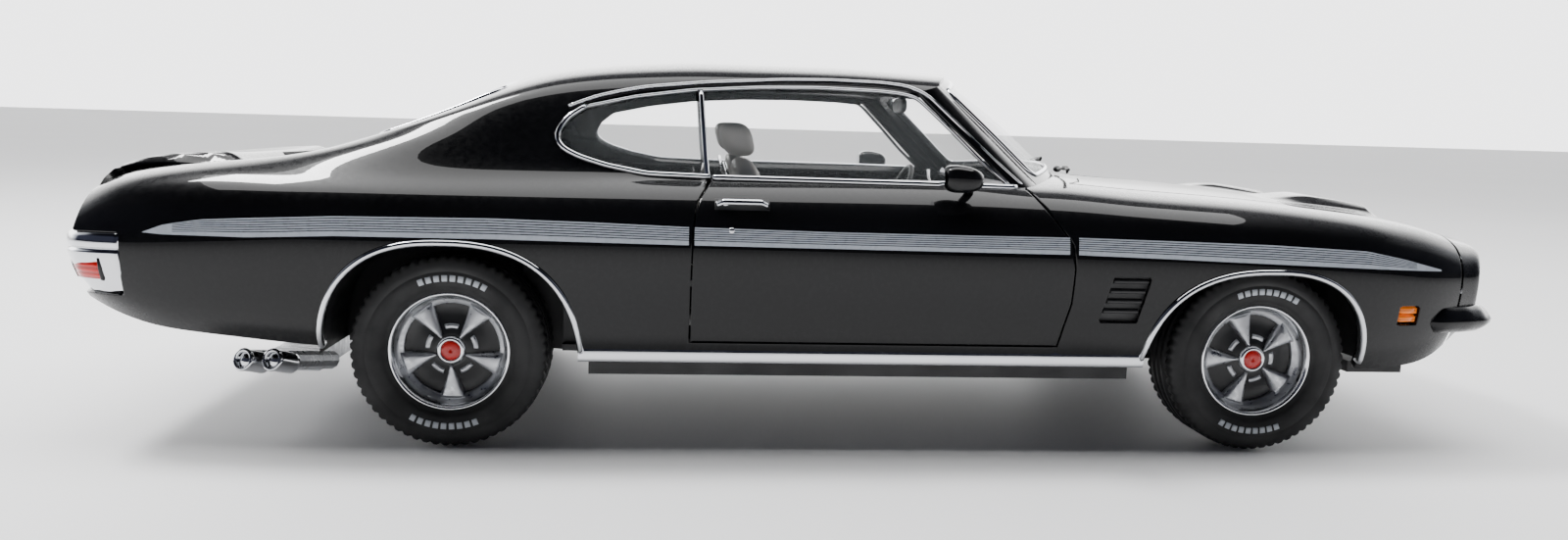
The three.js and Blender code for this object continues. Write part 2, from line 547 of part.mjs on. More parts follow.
add("nose_panel", largest(cut(noseHalf, [noseInner, inset, frontRecess, ...lampHoles, ...grilleHoles])), "black");

const bumperBand = cut(planPrism(BUMPER_PLAN, pz(24.9), pz(29.9)), [planPrism(grown(BUMPER_PLAN, -BUMPER_WALL), 0, 60)]);
add("front_bumper", largest(bumperBand.intersect(designBox(122, -60, 20, 150, 60, 32))), "black");

const GRILLE_BARS = 4;
const grilleBack = cut(planPrism(grown(NOSE_PLAN, -NOSE_WALL - CLEARANCE), pz(30.8), pz(39.4)), [
  planPrism(grown(NOSE_PLAN, -NOSE_WALL - CLEARANCE - 1.2), 0, 60),
]);
const grilleSlots = SIDES.flatMap(([, side]) =>
  Array.from({ length: GRILLE_BARS }, (_, i) => {
    const low = pz(32) + (i * (pz(38.6) - pz(32))) / GRILLE_BARS;
    const ends = [side * py(5.4), side * py(22.8)].sort((a, b) => a - b);
    return box(px(125), ends[0], low, NOSE_X, ends[1], low + 1);
  }),
);
const grille = cut(grilleBack, grilleSlots).intersect(box(px(131), -py(24), 0, NOSE_X, py(24), 60));
add("grille", largest(cut(grille, [cut(noseOuter, [noseInner])])), "plastic");

const lampBack = designBox(130.2, -42.6, 30.8, 131.2, -25.2, 39);
const lamps = LAMP_CENTRES.map((y) =>
  rod([px(131), -py(y), LAMP_LEVEL], [px(134.4), -py(y), LAMP_LEVEL], LAMP_RADIUS - CLEARANCE, 20, LAMP_RADIUS - 0.8),
);
addPair("headlamps", union([lampBack, ...lamps]), "lens");
const markerLamp = layer(0, WALL + 0.9).intersect(designBox(113.3, -60, 26.8, 117.4, -44, 30.1));
addPair("marker_lamp", largest(markerLamp), "amber");

// ---------------------------------------------------------------- tail
const TAIL_WALL = 2.4;
const tailRing = (near, far) =>
  cut(planPrism(near ? grown(TAIL_PLAN, -near) : TAIL_PLAN, 0, 60), [planPrism(grown(TAIL_PLAN, -far), 0, 60)]);
const tailZone = bothPrism(BUMPER_SIDE).intersect(box(TAIL_X - 5, -WIDE, 0, TAIL_JOIN, WIDE, 60));
const lampWindow = (gap) => [
  designBox(-138.6 + gap, -60, 31.8 + gap, -132.6 - gap, -44, 35.2 - gap),
  designBox(-150, -40 + gap, 31.8 + gap, -136, -20 - gap, 35.2 - gap),
];
const rearBumper = cut(tailRing(0, TAIL_WALL).intersect(tailZone), [...lampWindow(0), ...lampWindow(0).map(mirrored)]);
add("rear_bumper", largest(rearBumper), "chrome");
const lampDepth = tailRing(0.3, TAIL_WALL + 1.6).intersect(tailZone);
const lampBar = tailRing(TAIL_WALL + CLEARANCE, TAIL_WALL + 1.6).intersect(designBox(-150, -60, 32, -132.8, -20.2, 35));
add("right_tail_lamp", largest(union([lampBar, ...lampWindow(0.2).map((w) => w.intersect(lampDepth))])), "red");
add("left_tail_lamp", mirrored(largest(union([lampBar, ...lampWindow(0.2).map((w) => w.intersect(lampDepth))]))), "red");

// ---------------------------------------------------------------- bonnet and boot lid
const frontAll = [...SIDE_RAILS, ...FRONT_RAILS];
const SCOOP_RISE = 1.7;
const scoop = (side) => {
  const at = (x, y, rise) => [px(x), side * py(y), topHeight(frontAll, x, y) + rise];
  const ramp = hull([
    at(97, 17, -0.8), at(97, 26, -0.8), at(121.5, 14.5, -0.9), at(121.5, 29, -0.9),
    at(107, 17.5, SCOOP_RISE), at(107, 26, SCOOP_RISE), at(120, 16, SCOOP_RISE), at(120, 27.6, SCOOP_RISE),
  ]);
  const low = topHeight(frontAll, 120, 22) + 0.3;
  const mouth = box(px(116.5), Math.min(side * py(17.4), side * py(26.2)), low, px(125), Math.max(side * py(17.4), side * py(26.2)), low + 0.9);
  return cut(ramp, [mouth]);
};
const bonnetSkin = skin.intersect(planPrism(grown(BONNET, -HALF_GAP), pz(42), 90)).intersect(box(0, -WIDE, 0, NOSE_JOIN - CLEARANCE, WIDE, 90));
add("bonnet", largest(union([bonnetSkin, scoop(-1), scoop(1)])), "black");

const DUCKTAIL = outline([[-114.5, 50.2], [-118.8, 53.7], [-127.5, 53.4], [-135, 52.4], [-139, 51.4], [-138.6, 49.6], [-116, 49.6]]);
const tailRise = sidePrism(DUCKTAIL, -py(29.2), py(29.2));
const lidPlan = planPrism(grown(BOOT_LID, -HALF_GAP), pz(46), 90);
const lidSkin = skin.intersect(bothPrism(TAIL_SIDE));
add("boot_lid", largest(union([lidSkin, tailRise]).intersect(lidPlan)), "black");

// ---------------------------------------------------------------- doors and side glass
// The side glass leans in towards the roof.
const LEAN = (py(44.3) - py(38.1)) / (pz(68) - pz(52));
function leaning(points, outside, thickness) {
  const g = geometryOf(sidePrism(points, -thickness, 0));
  const p = g.attributes.position;
  for (let i = 0; i < p.count; i++) p.setY(i, -p.getY(i) - outside + LEAN * (p.getZ(i) - pz(52)));
  const index = g.index.array;
  for (let i = 0; i < index.length; i += 3) [index[i + 1], index[i + 2]] = [index[i + 2], index[i + 1]];
  return solid(g);
}
const GLASS_FACE = py(44.3);
const BELT = pz(52.3);
const sunk = DOOR_GLASS.map(([x, z]) => [x, z < BELT + 0.01 ? pz(48.6) : z]);
const doorGlass = leaning(grown(sunk, -CLEARANCE), GLASS_FACE, GLASS);
const glassSlot = leaning(grown(sunk, CLEARANCE), GLASS_FACE + CLEARANCE, GLASS + 2 * CLEARANCE);
const door = cut(outer, [doorInner]).intersect(rightPrism(grown(DOOR, -HALF_GAP), DOOR_INBOARD));
addPair("door", largest(cut(door, [glassSlot, box(px(-60), -py(44.2), pz(51), px(60), 0, 90)])), "black");
addPair("door_glass", largest(doorGlass), "glass");
addPair("quarter_glass", leaning(grown(QUARTER_GLASS, -CLEARANCE), GLASS_FACE, GLASS), "glass");
addPair("door_handle", layer(-1.2, -SNUG).intersect(designBox(-22.3, -60, 47, -12.6, -45, 48.3)), "chrome");
const beltStrip = layer(-TRIM, -SNUG).intersect(designBox(-23.6, -46.2, 49, 34.8, -45, 54));
addPair("belt_moulding", largest(beltStrip), "chrome");

// Bright frame round the side glass: drip rail, quarter surround and the upright strip between the two glasses.
const frameRing = cut(rightPrism(grown(SIDE_WINDOW, 1.2)), [windowHole]).intersect(layer(-TRIM, -SNUG));
const frameOpen = cut(frameRing, [designBox(-24.9, -60, 40, 60, 0, 53.2)]);
const UPRIGHT = outline([[-23.95, 51.6], [-25.15, 51.6], [-27.65, 69], [-26.4, 69]]);
const upright = leaning(UPRIGHT, GLASS_FACE + 1.1, 1.6);
const outside = cut(upright, [skin]);
addPair("window_moulding", largest(union([frameOpen, outside])), "chrome");

// ---------------------------------------------------------------- screen and rear window
const screen = cut(screenBlock(0.2), [screenBlock(0.2 + GLASS)]).intersect(screenHole(CLEARANCE));
add("windscreen", largest(screen), "glass");
add("rear_window", largest(layer(0.2, 0.2 + GLASS).intersect(rearHole(CLEARANCE))), "glass");

// ---------------------------------------------------------------- lower mouldings
const archMoulding = (arch) => {
  const band = [...archPoints(arch, MOULDING), ...archPoints(arch).reverse()];
  return largest(layer(-0.5, 1.2).intersect(rightPrism(band)).intersect(designBox(-150, -60, 18.4, 150, 0, 60)));
};
addPair("rear_arch_moulding", archMoulding(REAR_ARCH), "chrome");
addPair("front_arch_moulding", archMoulding(FRONT_ARCH), "chrome");
const sillStart = REAR_ARCH.x + REAR_ARCH.ahead + MOULDING + SNUG;
const sillEnd = FRONT_ARCH.x - FRONT_ARCH.behind - MOULDING - SNUG;
const sillStrip = layer(-TRIM, -SNUG).intersect(box(sillStart, -WIDE, pz(17.3), sillEnd, 0, pz(20.4)));
addPair("sill_moulding", largest(sillStrip), "chrome");

// ---------------------------------------------------------------- mirrors and wipers
function mirrorPiece() {
  const ring = (x, height, halfY, halfZ, centreY) =>
    Array.from({ length: 12 }, (_, i) => {
      const a = (Math.PI * 2 * i) / 12;
      return [px(x), -py(centreY) + halfY * Math.cos(a), pz(height) + halfZ * Math.sin(a)];
    });
  const head = hull([...ring(19.7, 54.1, 4, 2.1, 52.2), ...ring(23.5, 54.1, 3.6, 1.9, 52), ...ring(26.6, 54.4, 1.6, 0.8, 51.4)]);
  const foot = hull([...ring(24.2, 48.2, 1.6, 0.3, 49.8), ...ring(23, 53, 1.2, 0.3, 51)]);
  return largest(cut(union([head, foot]), [bodyVolume(-SNUG, 0)]));
}
addPair("mirror", mirrorPiece(), "black");

// Both wipers lie along the foot of the screen on one linkage bar.
const WIPER_RADIUS = 0.5;
const WIPER_RISE = 1.7;
const wiperLine = new THREE.CatmullRomCurve3(
  [-0.72, -0.5, -0.25, 0, 0.25, 0.5, 0.62].map((s) => {
    const [x, y, z] = SCREEN.base(s);
    return new THREE.Vector3(x + 1.1, y, z + WIPER_RISE);
  }),
);
const wiperSection = new THREE.Shape(
  Array.from({ length: 6 }, (_, i) => {
    const a = (Math.PI * 2 * i) / 6;
    return new THREE.Vector2(WIPER_RADIUS * Math.cos(a), WIPER_RADIUS * Math.sin(a));
  }),
);
const wiperBar = new THREE.ExtrudeGeometry(wiperSection, { steps: 12, bevelEnabled: false, extrudePath: wiperLine });
add("wipers", solid(wiperBar), "plastic");

// ---------------------------------------------------------------- cabin
const FLOOR = 18.4;
const FLOOR_TOP = 19.6;
const tub = union([
  box(px(-51), -py(46.2), FLOOR, px(47), py(46.2), FLOOR_TOP),
  box(px(-60), -py(34.4), FLOOR, px(-50), py(34.4), FLOOR_TOP),
  box(px(45.8), -py(43), FLOOR, px(47), py(43), pz(47.4)),
  box(px(-60), -py(34.4), FLOOR, px(-58.8), py(34.4), pz(50.6)),
  box(px(-84), -py(34), pz(49.4), px(-58.8), py(34), pz(50.6)),
  box(px(-32), -4.6, FLOOR, px(40), 4.6, 25),
  ...SIDES.flatMap(([, side]) => {
    const wall = (x0, x1, y0, y1, top) => box(px(x0), Math.min(side * y0, side * y1), FLOOR, px(x1), Math.max(side * y0, side * y1), top);
    return [
      wall(-51, -28, py(43.2), py(44.4), pz(47)),
      wall(-28, 47, py(45), py(46.2), 23.6),
      wall(-51, -49.8, py(33.2), py(44.4), pz(47)),
      wall(-60, -50, py(33.2), py(34.4), pz(47)),
    ];
  }),
]);
add("cabin_tub", largest(tub), "plastic");

const DASH = outline([[45.4, 43], [45.4, 47.6], [39, 49.6], [35.4, 49.2], [34, 46], [36.5, 42.4]]);
const COLUMN = { y: py(21), wheelX: px(25), wheelZ: pz(45.5), tilt: 0.42, radius: 1 };
const columnAxis = new THREE.Vector3(Math.cos(COLUMN.tilt), 0, -Math.sin(COLUMN.tilt));
const columnPoint = (d) => [COLUMN.wheelX + columnAxis.x * d, COLUMN.y, COLUMN.wheelZ + columnAxis.z * d];
const columnBore = rod(columnPoint(2), columnPoint(18), COLUMN.radius + CLEARANCE, 10);
add("dashboard", largest(cut(sidePrism(DASH, -py(38), py(38)), [columnBore])), "plastic");

function steeringWheel() {
  const RING = 8.2;
  const tilt = new THREE.Quaternion().setFromUnitVectors(new THREE.Vector3(0, 0, 1), columnAxis);
  const place = (g) => solid(g.applyQuaternion(tilt).translate(...columnPoint(0)));
  const ring = place(new THREE.TorusGeometry(RING, 0.65, 5, 20));
  const spokes = [0.5, 2.64, 4.71].map((a) =>
    place(new THREE.BoxGeometry(RING, 1.3, 0.7).translate(RING / 2, 0, 0).rotateZ(a)),
  );
  const hub = rod(columnPoint(-0.8), columnPoint(1.6), 2, 12);
  return union([ring, ...spokes, hub, rod(columnPoint(1), columnPoint(12.5), COLUMN.radius, 10)]);
}
add("steering_wheel", steeringWheel(), "plastic");

const SEAT_PIVOT = [px(-9), 27];
const CUSHION = [[-5, 21.5], [15, 20.6], [17, 24], [16.4, 29.4], [13, 30.8], [-5, 28.2]].map(([x, z]) => [px(x), z]);
const BACKREST = [
  [-11.6, 25.2], [-7, 25.2], [-6.4, 30], [-10.6, 51.4], [-12.4, 54.6], [-18.4, 54.9], [-19.6, 51.6], [-13.4, 30],
].map(([x, z]) => [px(x), z]);
const HEADREST = [[-21.2, 57.6], [-20.6, 61.2], [-16.6, 61.8], [-13.4, 60.4], [-13.6, 56.2], [-18, 55.4]].map(([x, z]) => [px(x), z]);
const seatBand = [py(10), py(32.5)];
addPair("seat_cushion", sidePrism(CUSHION, -seatBand[1], -seatBand[0]), "trim");
const stems = [17, 25].map((y) => rod([px(-16), -py(y), 53], [px(-17), -py(y), 57], 0.7, 8));
const backrest = union([
  sidePrism(BACKREST, -seatBand[1], -seatBand[0]),
  sidePrism(HEADREST, -py(28), -py(14.4)),
  ...stems,
]);
addPair("seat_back", backrest, "trim");
const BENCH = [[-56.8, 20.6], [-34.5, 20.6], [-33, 24], [-34.5, 29.6], [-50, 31], [-54.6, 48.4], [-57.8, 48.4]];
add("rear_bench", sidePrism(BENCH.map(([x, z]) => [px(x), z]), -py(31.6), py(31.6)), "trim");
const mirrorHead = box(px(20.4), -5.4, pz(65.8), px(21.9), 5.4, pz(69.4));
add("inside_mirror", union([mirrorHead, rod([px(21.2), 0, pz(69)], [px(20.4), 0, pz(71.6)], 0.7, 8)]), "plastic");

// ---------------------------------------------------------------- chassis
const PLATE_LOW = 14;
const PLATE_TOP = 16.4;
const LUG_RADIUS = 2.6;
const KNUCKLE_LOW = PLATE_TOP + 0.3;
const KNUCKLE_TOP = 20.9;
const LUG_TOP = [KNUCKLE_TOP + 0.3, KNUCKLE_TOP + 2.3];
const PAD_RADIUS = 4;
const PAD_LOW = 12.6;
const PAD_X = [-36, 48];
const bearing = (side) => box(REAR_AXLE_X - 3.6, side > 0 ? 20 : -25, PLATE_LOW, REAR_AXLE_X + 3.6, side > 0 ? 25 : -20, AXLE_Z + 3.6);
const fork = (side) => {
  const y = side * KINGPIN_Y;
  const reach = (z0, z1) => box(FRONT_AXLE_X - LUG_RADIUS, Math.min(side * 24, y), z0, FRONT_AXLE_X + LUG_RADIUS, Math.max(side * 24, y), z1);
  return [
    reach(PLATE_LOW, PLATE_TOP),
    reach(...LUG_TOP),
    rod([FRONT_AXLE_X, y, PLATE_LOW], [FRONT_AXLE_X, y, PLATE_TOP], LUG_RADIUS, 12),
    rod([FRONT_AXLE_X, y, LUG_TOP[0]], [FRONT_AXLE_X, y, LUG_TOP[1]], LUG_RADIUS, 12),
    box(FRONT_AXLE_X - LUG_RADIUS, side > 0 ? 24 : -27.4, PLATE_LOW, FRONT_AXLE_X + LUG_RADIUS, side > 0 ? 27.4 : -24, LUG_TOP[1]),
  ];
};
const plate = union([
  box(px(-126), -26.5, PLATE_LOW, px(124), 26.5, PLATE_TOP),
  box(px(-46), -py(46.6), PLATE_LOW, px(60.4), py(46.6), PLATE_TOP),
  box(px(112), -py(38), PLATE_LOW, px(124), py(38), PLATE_TOP),
  ...SIDES.flatMap(([, side]) => [bearing(side), ...fork(side)]),
  ...PAD_X.map((x) => rod([px(x), 0, PAD_LOW], [px(x), 0, PLATE_LOW + 1], PAD_RADIUS, 16)),
]);
const chassisBores = [
  rod([REAR_AXLE_X, -30, AXLE_Z], [REAR_AXLE_X, 30, AXLE_Z], AXLE_RADIUS + RUNNING, 14),
  ...SIDES.map(([, side]) =>
    rod([FRONT_AXLE_X, side * KINGPIN_Y, 5], [FRONT_AXLE_X, side * KINGPIN_Y, 30], KINGPIN_RADIUS + RUNNING, 12),
  ),
];
add("chassis_plate", largest(cut(plate, chassisBores)), "plastic");

const silencer = box(px(-114), -22, 8.4, px(-104), 22, 12.6);
const TAILPIPE_RADIUS = 2;
const tailpipes = SIDES.flatMap(([, side]) =>
  [-112, -106.6].map((x) => rod([px(x + 4), side * 19, 10.2], [px(x), side * py(40), 14.6], TAILPIPE_RADIUS, 10)),
);
const pipeBores = SIDES.flatMap(([, side]) =>
  [-112, -106.6].map((x) => rod([px(x + 1.05), side * 34.5, 13.45], [px(x - 0.4), side * py(42.1), 15.04], TAILPIPE_RADIUS - 0.45, 10)),
);
add("exhaust_system", largest(cut(union([silencer, ...tailpipes]), pipeBores)), "satin");

// ---------------------------------------------------------------- engine
const ENGINE_X = px(78);
const engine = union([
  box(px(60), -9, 23, px(94), 9, 35),
  hull([-1, 1].flatMap((s) => [px(62), px(92)].flatMap((x) => [[x, s * 6, 28], [x, s * 15, 34], [x, s * 12, 38], [x, s * 4, 36]]))),
  rod([ENGINE_X, 0, 34], [ENGINE_X, 0, pz(41)], 4, 16),
  rod([ENGINE_X, 0, pz(40.6)], [ENGINE_X, 0, pz(44.4)], 10.5, 24),
  box(px(92), -1.4, 27, px(103.5), 1.4, 30),
  rod([px(97), 0, 30], [px(98.4), 0, 30], 8, 16),
  box(px(103), -20, 20, px(106), 20, pz(39)),
]);
add("engine_block", engine, "engine");

// ---------------------------------------------------------------- running gear
const SHOULDER = 2; // how far the tyre's tread is rounded off at each edge
const TYRE_PROFILE = [
  [RIM_RADIUS + 0.15, -5.4], [13, -TYRE_WIDTH / 2], [TYRE_RADIUS - SHOULDER, -TYRE_WIDTH / 2],
  [TYRE_RADIUS, -TYRE_WIDTH / 2 + SHOULDER], [TYRE_RADIUS, TYRE_WIDTH / 2 - SHOULDER],
  [TYRE_RADIUS - SHOULDER, TYRE_WIDTH / 2], [13, TYRE_WIDTH / 2], [RIM_RADIUS + 0.15, 5.4], [RIM_RADIUS + 0.15, -5.4],
];
const RIM_PROFILE = [
  [9.5, -5.2], [11, -5.2], [11, 4.6], [RIM_RADIUS, 5.2], [10.8, 5.8], [10.2, 5.4], [8.8, 3.2], [8.8, 0.6], [9.5, -5.2],
];
const SPOKES = 5;
function rim(turn) {
  const spokes = Array.from({ length: SPOKES }, (_, i) => {
    const a = turn + (Math.PI * 2 * i) / SPOKES;
    const at = (r, w) => [r * Math.cos(a) - w * Math.sin(a), r * Math.sin(a) + w * Math.cos(a)];
    return sidePrism([at(1.4, -0.6), at(3.2, -0.7), at(9.1, -1.9), at(9.1, 1.9), at(3.2, 0.7), at(1.4, 0.6)], 1.4, 3);
  });
  const body = union([
    lathe(RIM_PROFILE, 20),
    ...spokes,
    rod([0, -4.4, 0], [0, 2.4, 0], 3.2, 12),
    rod([0, 2, 0], [0, 4.2, 0], 2.2, 12, 1.9),
  ]);
  return cut(body, [rod([0, -6, 0], [0, 1, 0], AXLE_RADIUS + RUNNING, 12)]);
}
const atWheel = (body, x, side) =>
  solid(geometryOf(side < 0 ? mirrored(body) : body).translate(x, side * HALF_TRACK, AXLE_Z));
for (const [label, side] of SIDES) {
  add(label + "_rear_rim", atWheel(rim(-Math.PI / 2), REAR_AXLE_X, side), "silver");
  add(label + "_front_rim", atWheel(rim(0), FRONT_AXLE_X, side), "silver");
  add(label + "_rear_tyre", atWheel(lathe(TYRE_PROFILE, 24), REAR_AXLE_X, side), "rubber");
  add(label + "_front_tyre", atWheel(lathe(TYRE_PROFILE, 24), FRONT_AXLE_X, side), "rubber");
}
const AXLE_END = HALF_TRACK + 0.6;
add("rear_axle", rod([REAR_AXLE_X, -AXLE_END, AXLE_Z], [REAR_AXLE_X, AXLE_END, AXLE_Z], AXLE_RADIUS, 12), "steel");

const PEG_RADIUS = 0.9;
function knuckle() {
  const y = -KINGPIN_Y;
  return union([
    rod([FRONT_AXLE_X, y, KNUCKLE_LOW], [FRONT_AXLE_X, y, KNUCKLE_TOP], LUG_RADIUS, 12),
    rod([FRONT_AXLE_X, y, PLATE_LOW + 0.2], [FRONT_AXLE_X, y, LUG_TOP[1] - 0.2], KINGPIN_RADIUS, 10),
    rod([FRONT_AXLE_X, y, AXLE_Z], [FRONT_AXLE_X, -AXLE_END, AXLE_Z], AXLE_RADIUS, 12),
    box(FRONT_AXLE_X - STEER_ARM - 1.2, y - 1.1, 17.4, FRONT_AXLE_X, y + 1.1, 19.2),
    rod([FRONT_AXLE_X - STEER_ARM, y, 18], [FRONT_AXLE_X - STEER_ARM, y, 21.4], PEG_RADIUS, 10),
  ]);
}
addPair("knuckle", knuckle(), "steel");

const ROD_LOW = 19.6;
const ROD_TOP = 21;
const rodX = FRONT_AXLE_X - STEER_ARM;
const tieRod = union([
  box(rodX - 1, -KINGPIN_Y, ROD_LOW, rodX + 1, KINGPIN_Y, ROD_TOP),
  ...SIDES.map(([, side]) => rod([rodX, side * KINGPIN_Y, ROD_LOW], [rodX, side * KINGPIN_Y, ROD_TOP], 2.6, 12)),
]);
const pegHoles = SIDES.map(([, side]) => rod([rodX, side * KINGPIN_Y, 15], [rodX, side * KINGPIN_Y, 25], PEG_RADIUS + 0.8, 12));
add("tie_rod", cut(tieRod, pegHoles), "steel");

export default model;
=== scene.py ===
import math
import bmesh
import bpy
import numpy as np
from mathutils import Matrix, Vector
from mathutils.geometry import delaunay_2d_cdt


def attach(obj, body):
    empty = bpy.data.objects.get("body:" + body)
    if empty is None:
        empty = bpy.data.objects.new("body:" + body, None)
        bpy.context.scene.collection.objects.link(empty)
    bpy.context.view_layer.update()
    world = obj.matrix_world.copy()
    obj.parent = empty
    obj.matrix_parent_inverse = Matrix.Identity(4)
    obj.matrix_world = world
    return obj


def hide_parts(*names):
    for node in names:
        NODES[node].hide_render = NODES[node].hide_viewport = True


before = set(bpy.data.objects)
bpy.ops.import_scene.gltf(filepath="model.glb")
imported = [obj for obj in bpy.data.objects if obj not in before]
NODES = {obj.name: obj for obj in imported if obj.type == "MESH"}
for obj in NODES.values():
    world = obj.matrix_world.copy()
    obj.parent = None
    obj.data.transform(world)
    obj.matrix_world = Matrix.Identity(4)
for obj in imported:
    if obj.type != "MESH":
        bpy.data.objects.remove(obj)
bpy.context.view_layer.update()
MM = 0.001
SIDES = (("right", -1), ("left", 1))


# ------------------------------------------------------------ materials
def shader(name, color, rough, metal=0.0, coat=0.0, coat_rough=0.03, ior=1.5, spec=0.5):
    mat = bpy.data.materials.new(name)
    mat.use_nodes = True
    bsdf = mat.node_tree.nodes["Principled BSDF"]
    bsdf.inputs["Base Color"].default_value = (*color, 1)
    bsdf.inputs["Roughness"].default_value = rough
    bsdf.inputs["Metallic"].default_value = metal
    bsdf.inputs["Coat Weight"].default_value = coat
    bsdf.inputs["Coat Roughness"].default_value = coat_rough
    bsdf.inputs["IOR"].default_value = ior
    bsdf.inputs["Specular IOR Level"].default_value = spec
    bsdf.inputs["Coat IOR"].default_value = 1.38
    return mat, mat.node_tree, bsdf


def noise(tree, scale, detail=3.0, rough=0.55, stretch=(1, 1, 1)):
    coords = tree.nodes.new("ShaderNodeTexCoord")
    mapping = tree.nodes.new("ShaderNodeMapping")
    mapping.inputs["Scale"].default_value = stretch
    tree.links.new(coords.outputs["Object"], mapping.inputs["Vector"])
    tex = tree.nodes.new("ShaderNodeTexNoise")
    tex.inputs["Scale"].default_value = scale
    tex.inputs["Detail"].default_value = detail
    tex.inputs["Roughness"].default_value = rough
    tree.links.new(mapping.outputs["Vector"], tex.inputs["Vector"])
    return tex.outputs["Fac"]


def spread(tree, value, low, high, a=0.35, b=0.65):
    node = tree.nodes.new("ShaderNodeMapRange")
    for key, v in (("From Min", a), ("From Max", b), ("To Min", low), ("To Max", high)):
        node.inputs[key].default_value = v
    tree.links.new(value, node.inputs["Value"])
    return node.outputs["Result"]


def tint(tree, bsdf, value, low, high):
    ramp = tree.nodes.new("ShaderNodeValToRGB")
    ramp.color_ramp.elements[0].position = 0.35
    ramp.color_ramp.elements[1].position = 0.65
    ramp.color_ramp.elements[0].color = (*low, 1)
    ramp.color_ramp.elements[1].color = (*high, 1)
    tree.links.new(value, ramp.inputs["Fac"])
    tree.links.new(ramp.outputs["Color"], bsdf.inputs["Base Color"])


def bump(tree, bsdf, value, strength, distance, coat=False):
    node = tree.nodes.new("ShaderNodeBump")
    node.inputs["Strength"].default_value = strength
    node.inputs["Distance"].default_value = distance
    tree.links.new(value, node.inputs["Height"])
    tree.links.new(node.outputs["Normal"], bsdf.inputs["Normal"])
    if coat:
        tree.links.new(node.outputs["Normal"], bsdf.inputs["Coat Normal"])


def varied(name, color, rough, grain, strength, distance, shade=0.12, **kw):
    """A surface with grain in its height, and slow drift in its colour and gloss."""
    mat, tree, bsdf = shader(name, color, rough, **kw)
    slow = noise(tree, 60, 4)
    tint(tree, bsdf, slow, [c * (1 - shade) for c in color], [min(1, c * (1 + shade)) for c in color])
    tree.links.new(spread(tree, noise(tree, 140, 5), rough * 0.82, min(1, rough * 1.2)),
        bsdf.inputs["Roughness"])
    bump(tree, bsdf, noise(tree, grain, 2), strength, distance)
    return mat


def lacquer():
    mat, tree, bsdf = shader("black_lacquer", (0.0035, 0.0036, 0.0042), 0.3, coat=0.85, coat_rough=0.012,
        spec=0.04)
    tint(tree, bsdf, noise(tree, 35, 4), (0.0020, 0.0021, 0.0026), (0.0034, 0.0036, 0.0044))
    tree.links.new(spread(tree, noise(tree, 900, 6), 0.22, 0.36), bsdf.inputs["Roughness"])
    bump(tree, bsdf, noise(tree, 90, 1), 0.05, 0.00001, coat=True)
    return mat


def metal_skin(name, color, rough, grain=500, strength=0.04, stretch=(1, 1, 1)):
    mat, tree, bsdf = shader(name, color, rough, metal=1.0)
    tint(tree, bsdf, noise(tree, 45, 3), [c * 0.93 for c in color], color)
    tree.links.new(spread(tree, noise(tree, grain, 5, stretch=stretch), rough * 0.7, rough * 1.5),
        bsdf.inputs["Roughness"])
    bump(tree, bsdf, noise(tree, grain, 2, stretch=stretch), strength, 0.00003)
    return mat


def clear(name, color, alpha):
    """A thin clear moulding: mostly see-through, with a painted reflection: its opacity grows at a glancing look,
    and its pale colour and sharp reflection grow with it.
    """
    mat, tree, bsdf = shader(name, color, 0.03, spec=0.6)
    # Painted reflection: opacity rises from face-on to glancing (Layer Weight facing), made uneven by a slow
    # noise, so the pale colour shows more where the view glances.
    layer = tree.nodes.new("ShaderNodeLayerWeight")
    layer.inputs["Blend"].default_value = 0.35
    glance_sheen_alpha = tree.nodes.new("ShaderNodeMath")
    glance_sheen_alpha.operation = "MULTIPLY"
    tree.links.new(spread(tree, noise(tree, 90, 3), 0.9, 1.1), glance_sheen_alpha.inputs[0])
    tree.links.new(spread(tree, layer.outputs["Facing"], alpha, alpha + 0.22, 0, 1), glance_sheen_alpha.inputs[1])
    tree.links.new(glance_sheen_alpha.outputs["Value"], bsdf.inputs["Alpha"])
    bump(tree, bsdf, noise(tree, 30, 1), 0.02, 0.0001)
    return mat


def lens(name, color, glow):
    mat, tree, bsdf = shader(name, color, 0.14, coat=0.25, spec=0.3)
    coords = tree.nodes.new("ShaderNodeTexCoord")
    wave = tree.nodes.new("ShaderNodeTexWave")
    wave.bands_direction = "Z"
    wave.inputs["Scale"].default_value = 330
    tree.links.new(coords.outputs["Object"], wave.inputs["Vector"])
    tint(tree, bsdf, wave.outputs["Fac"], [c * 0.6 for c in color], color)
    bump(tree, bsdf, wave.outputs["Fac"], 0.4, 0.0002)
    # Painted glow: the moulding gives off its own colour (red 0.3, amber 0.25, clear none), though no lamp is lit
    # behind it.
    bsdf.inputs["Emission Color"].default_value = (*color, 1)
    bsdf.inputs["Emission Strength"].default_value = glow
    return mat


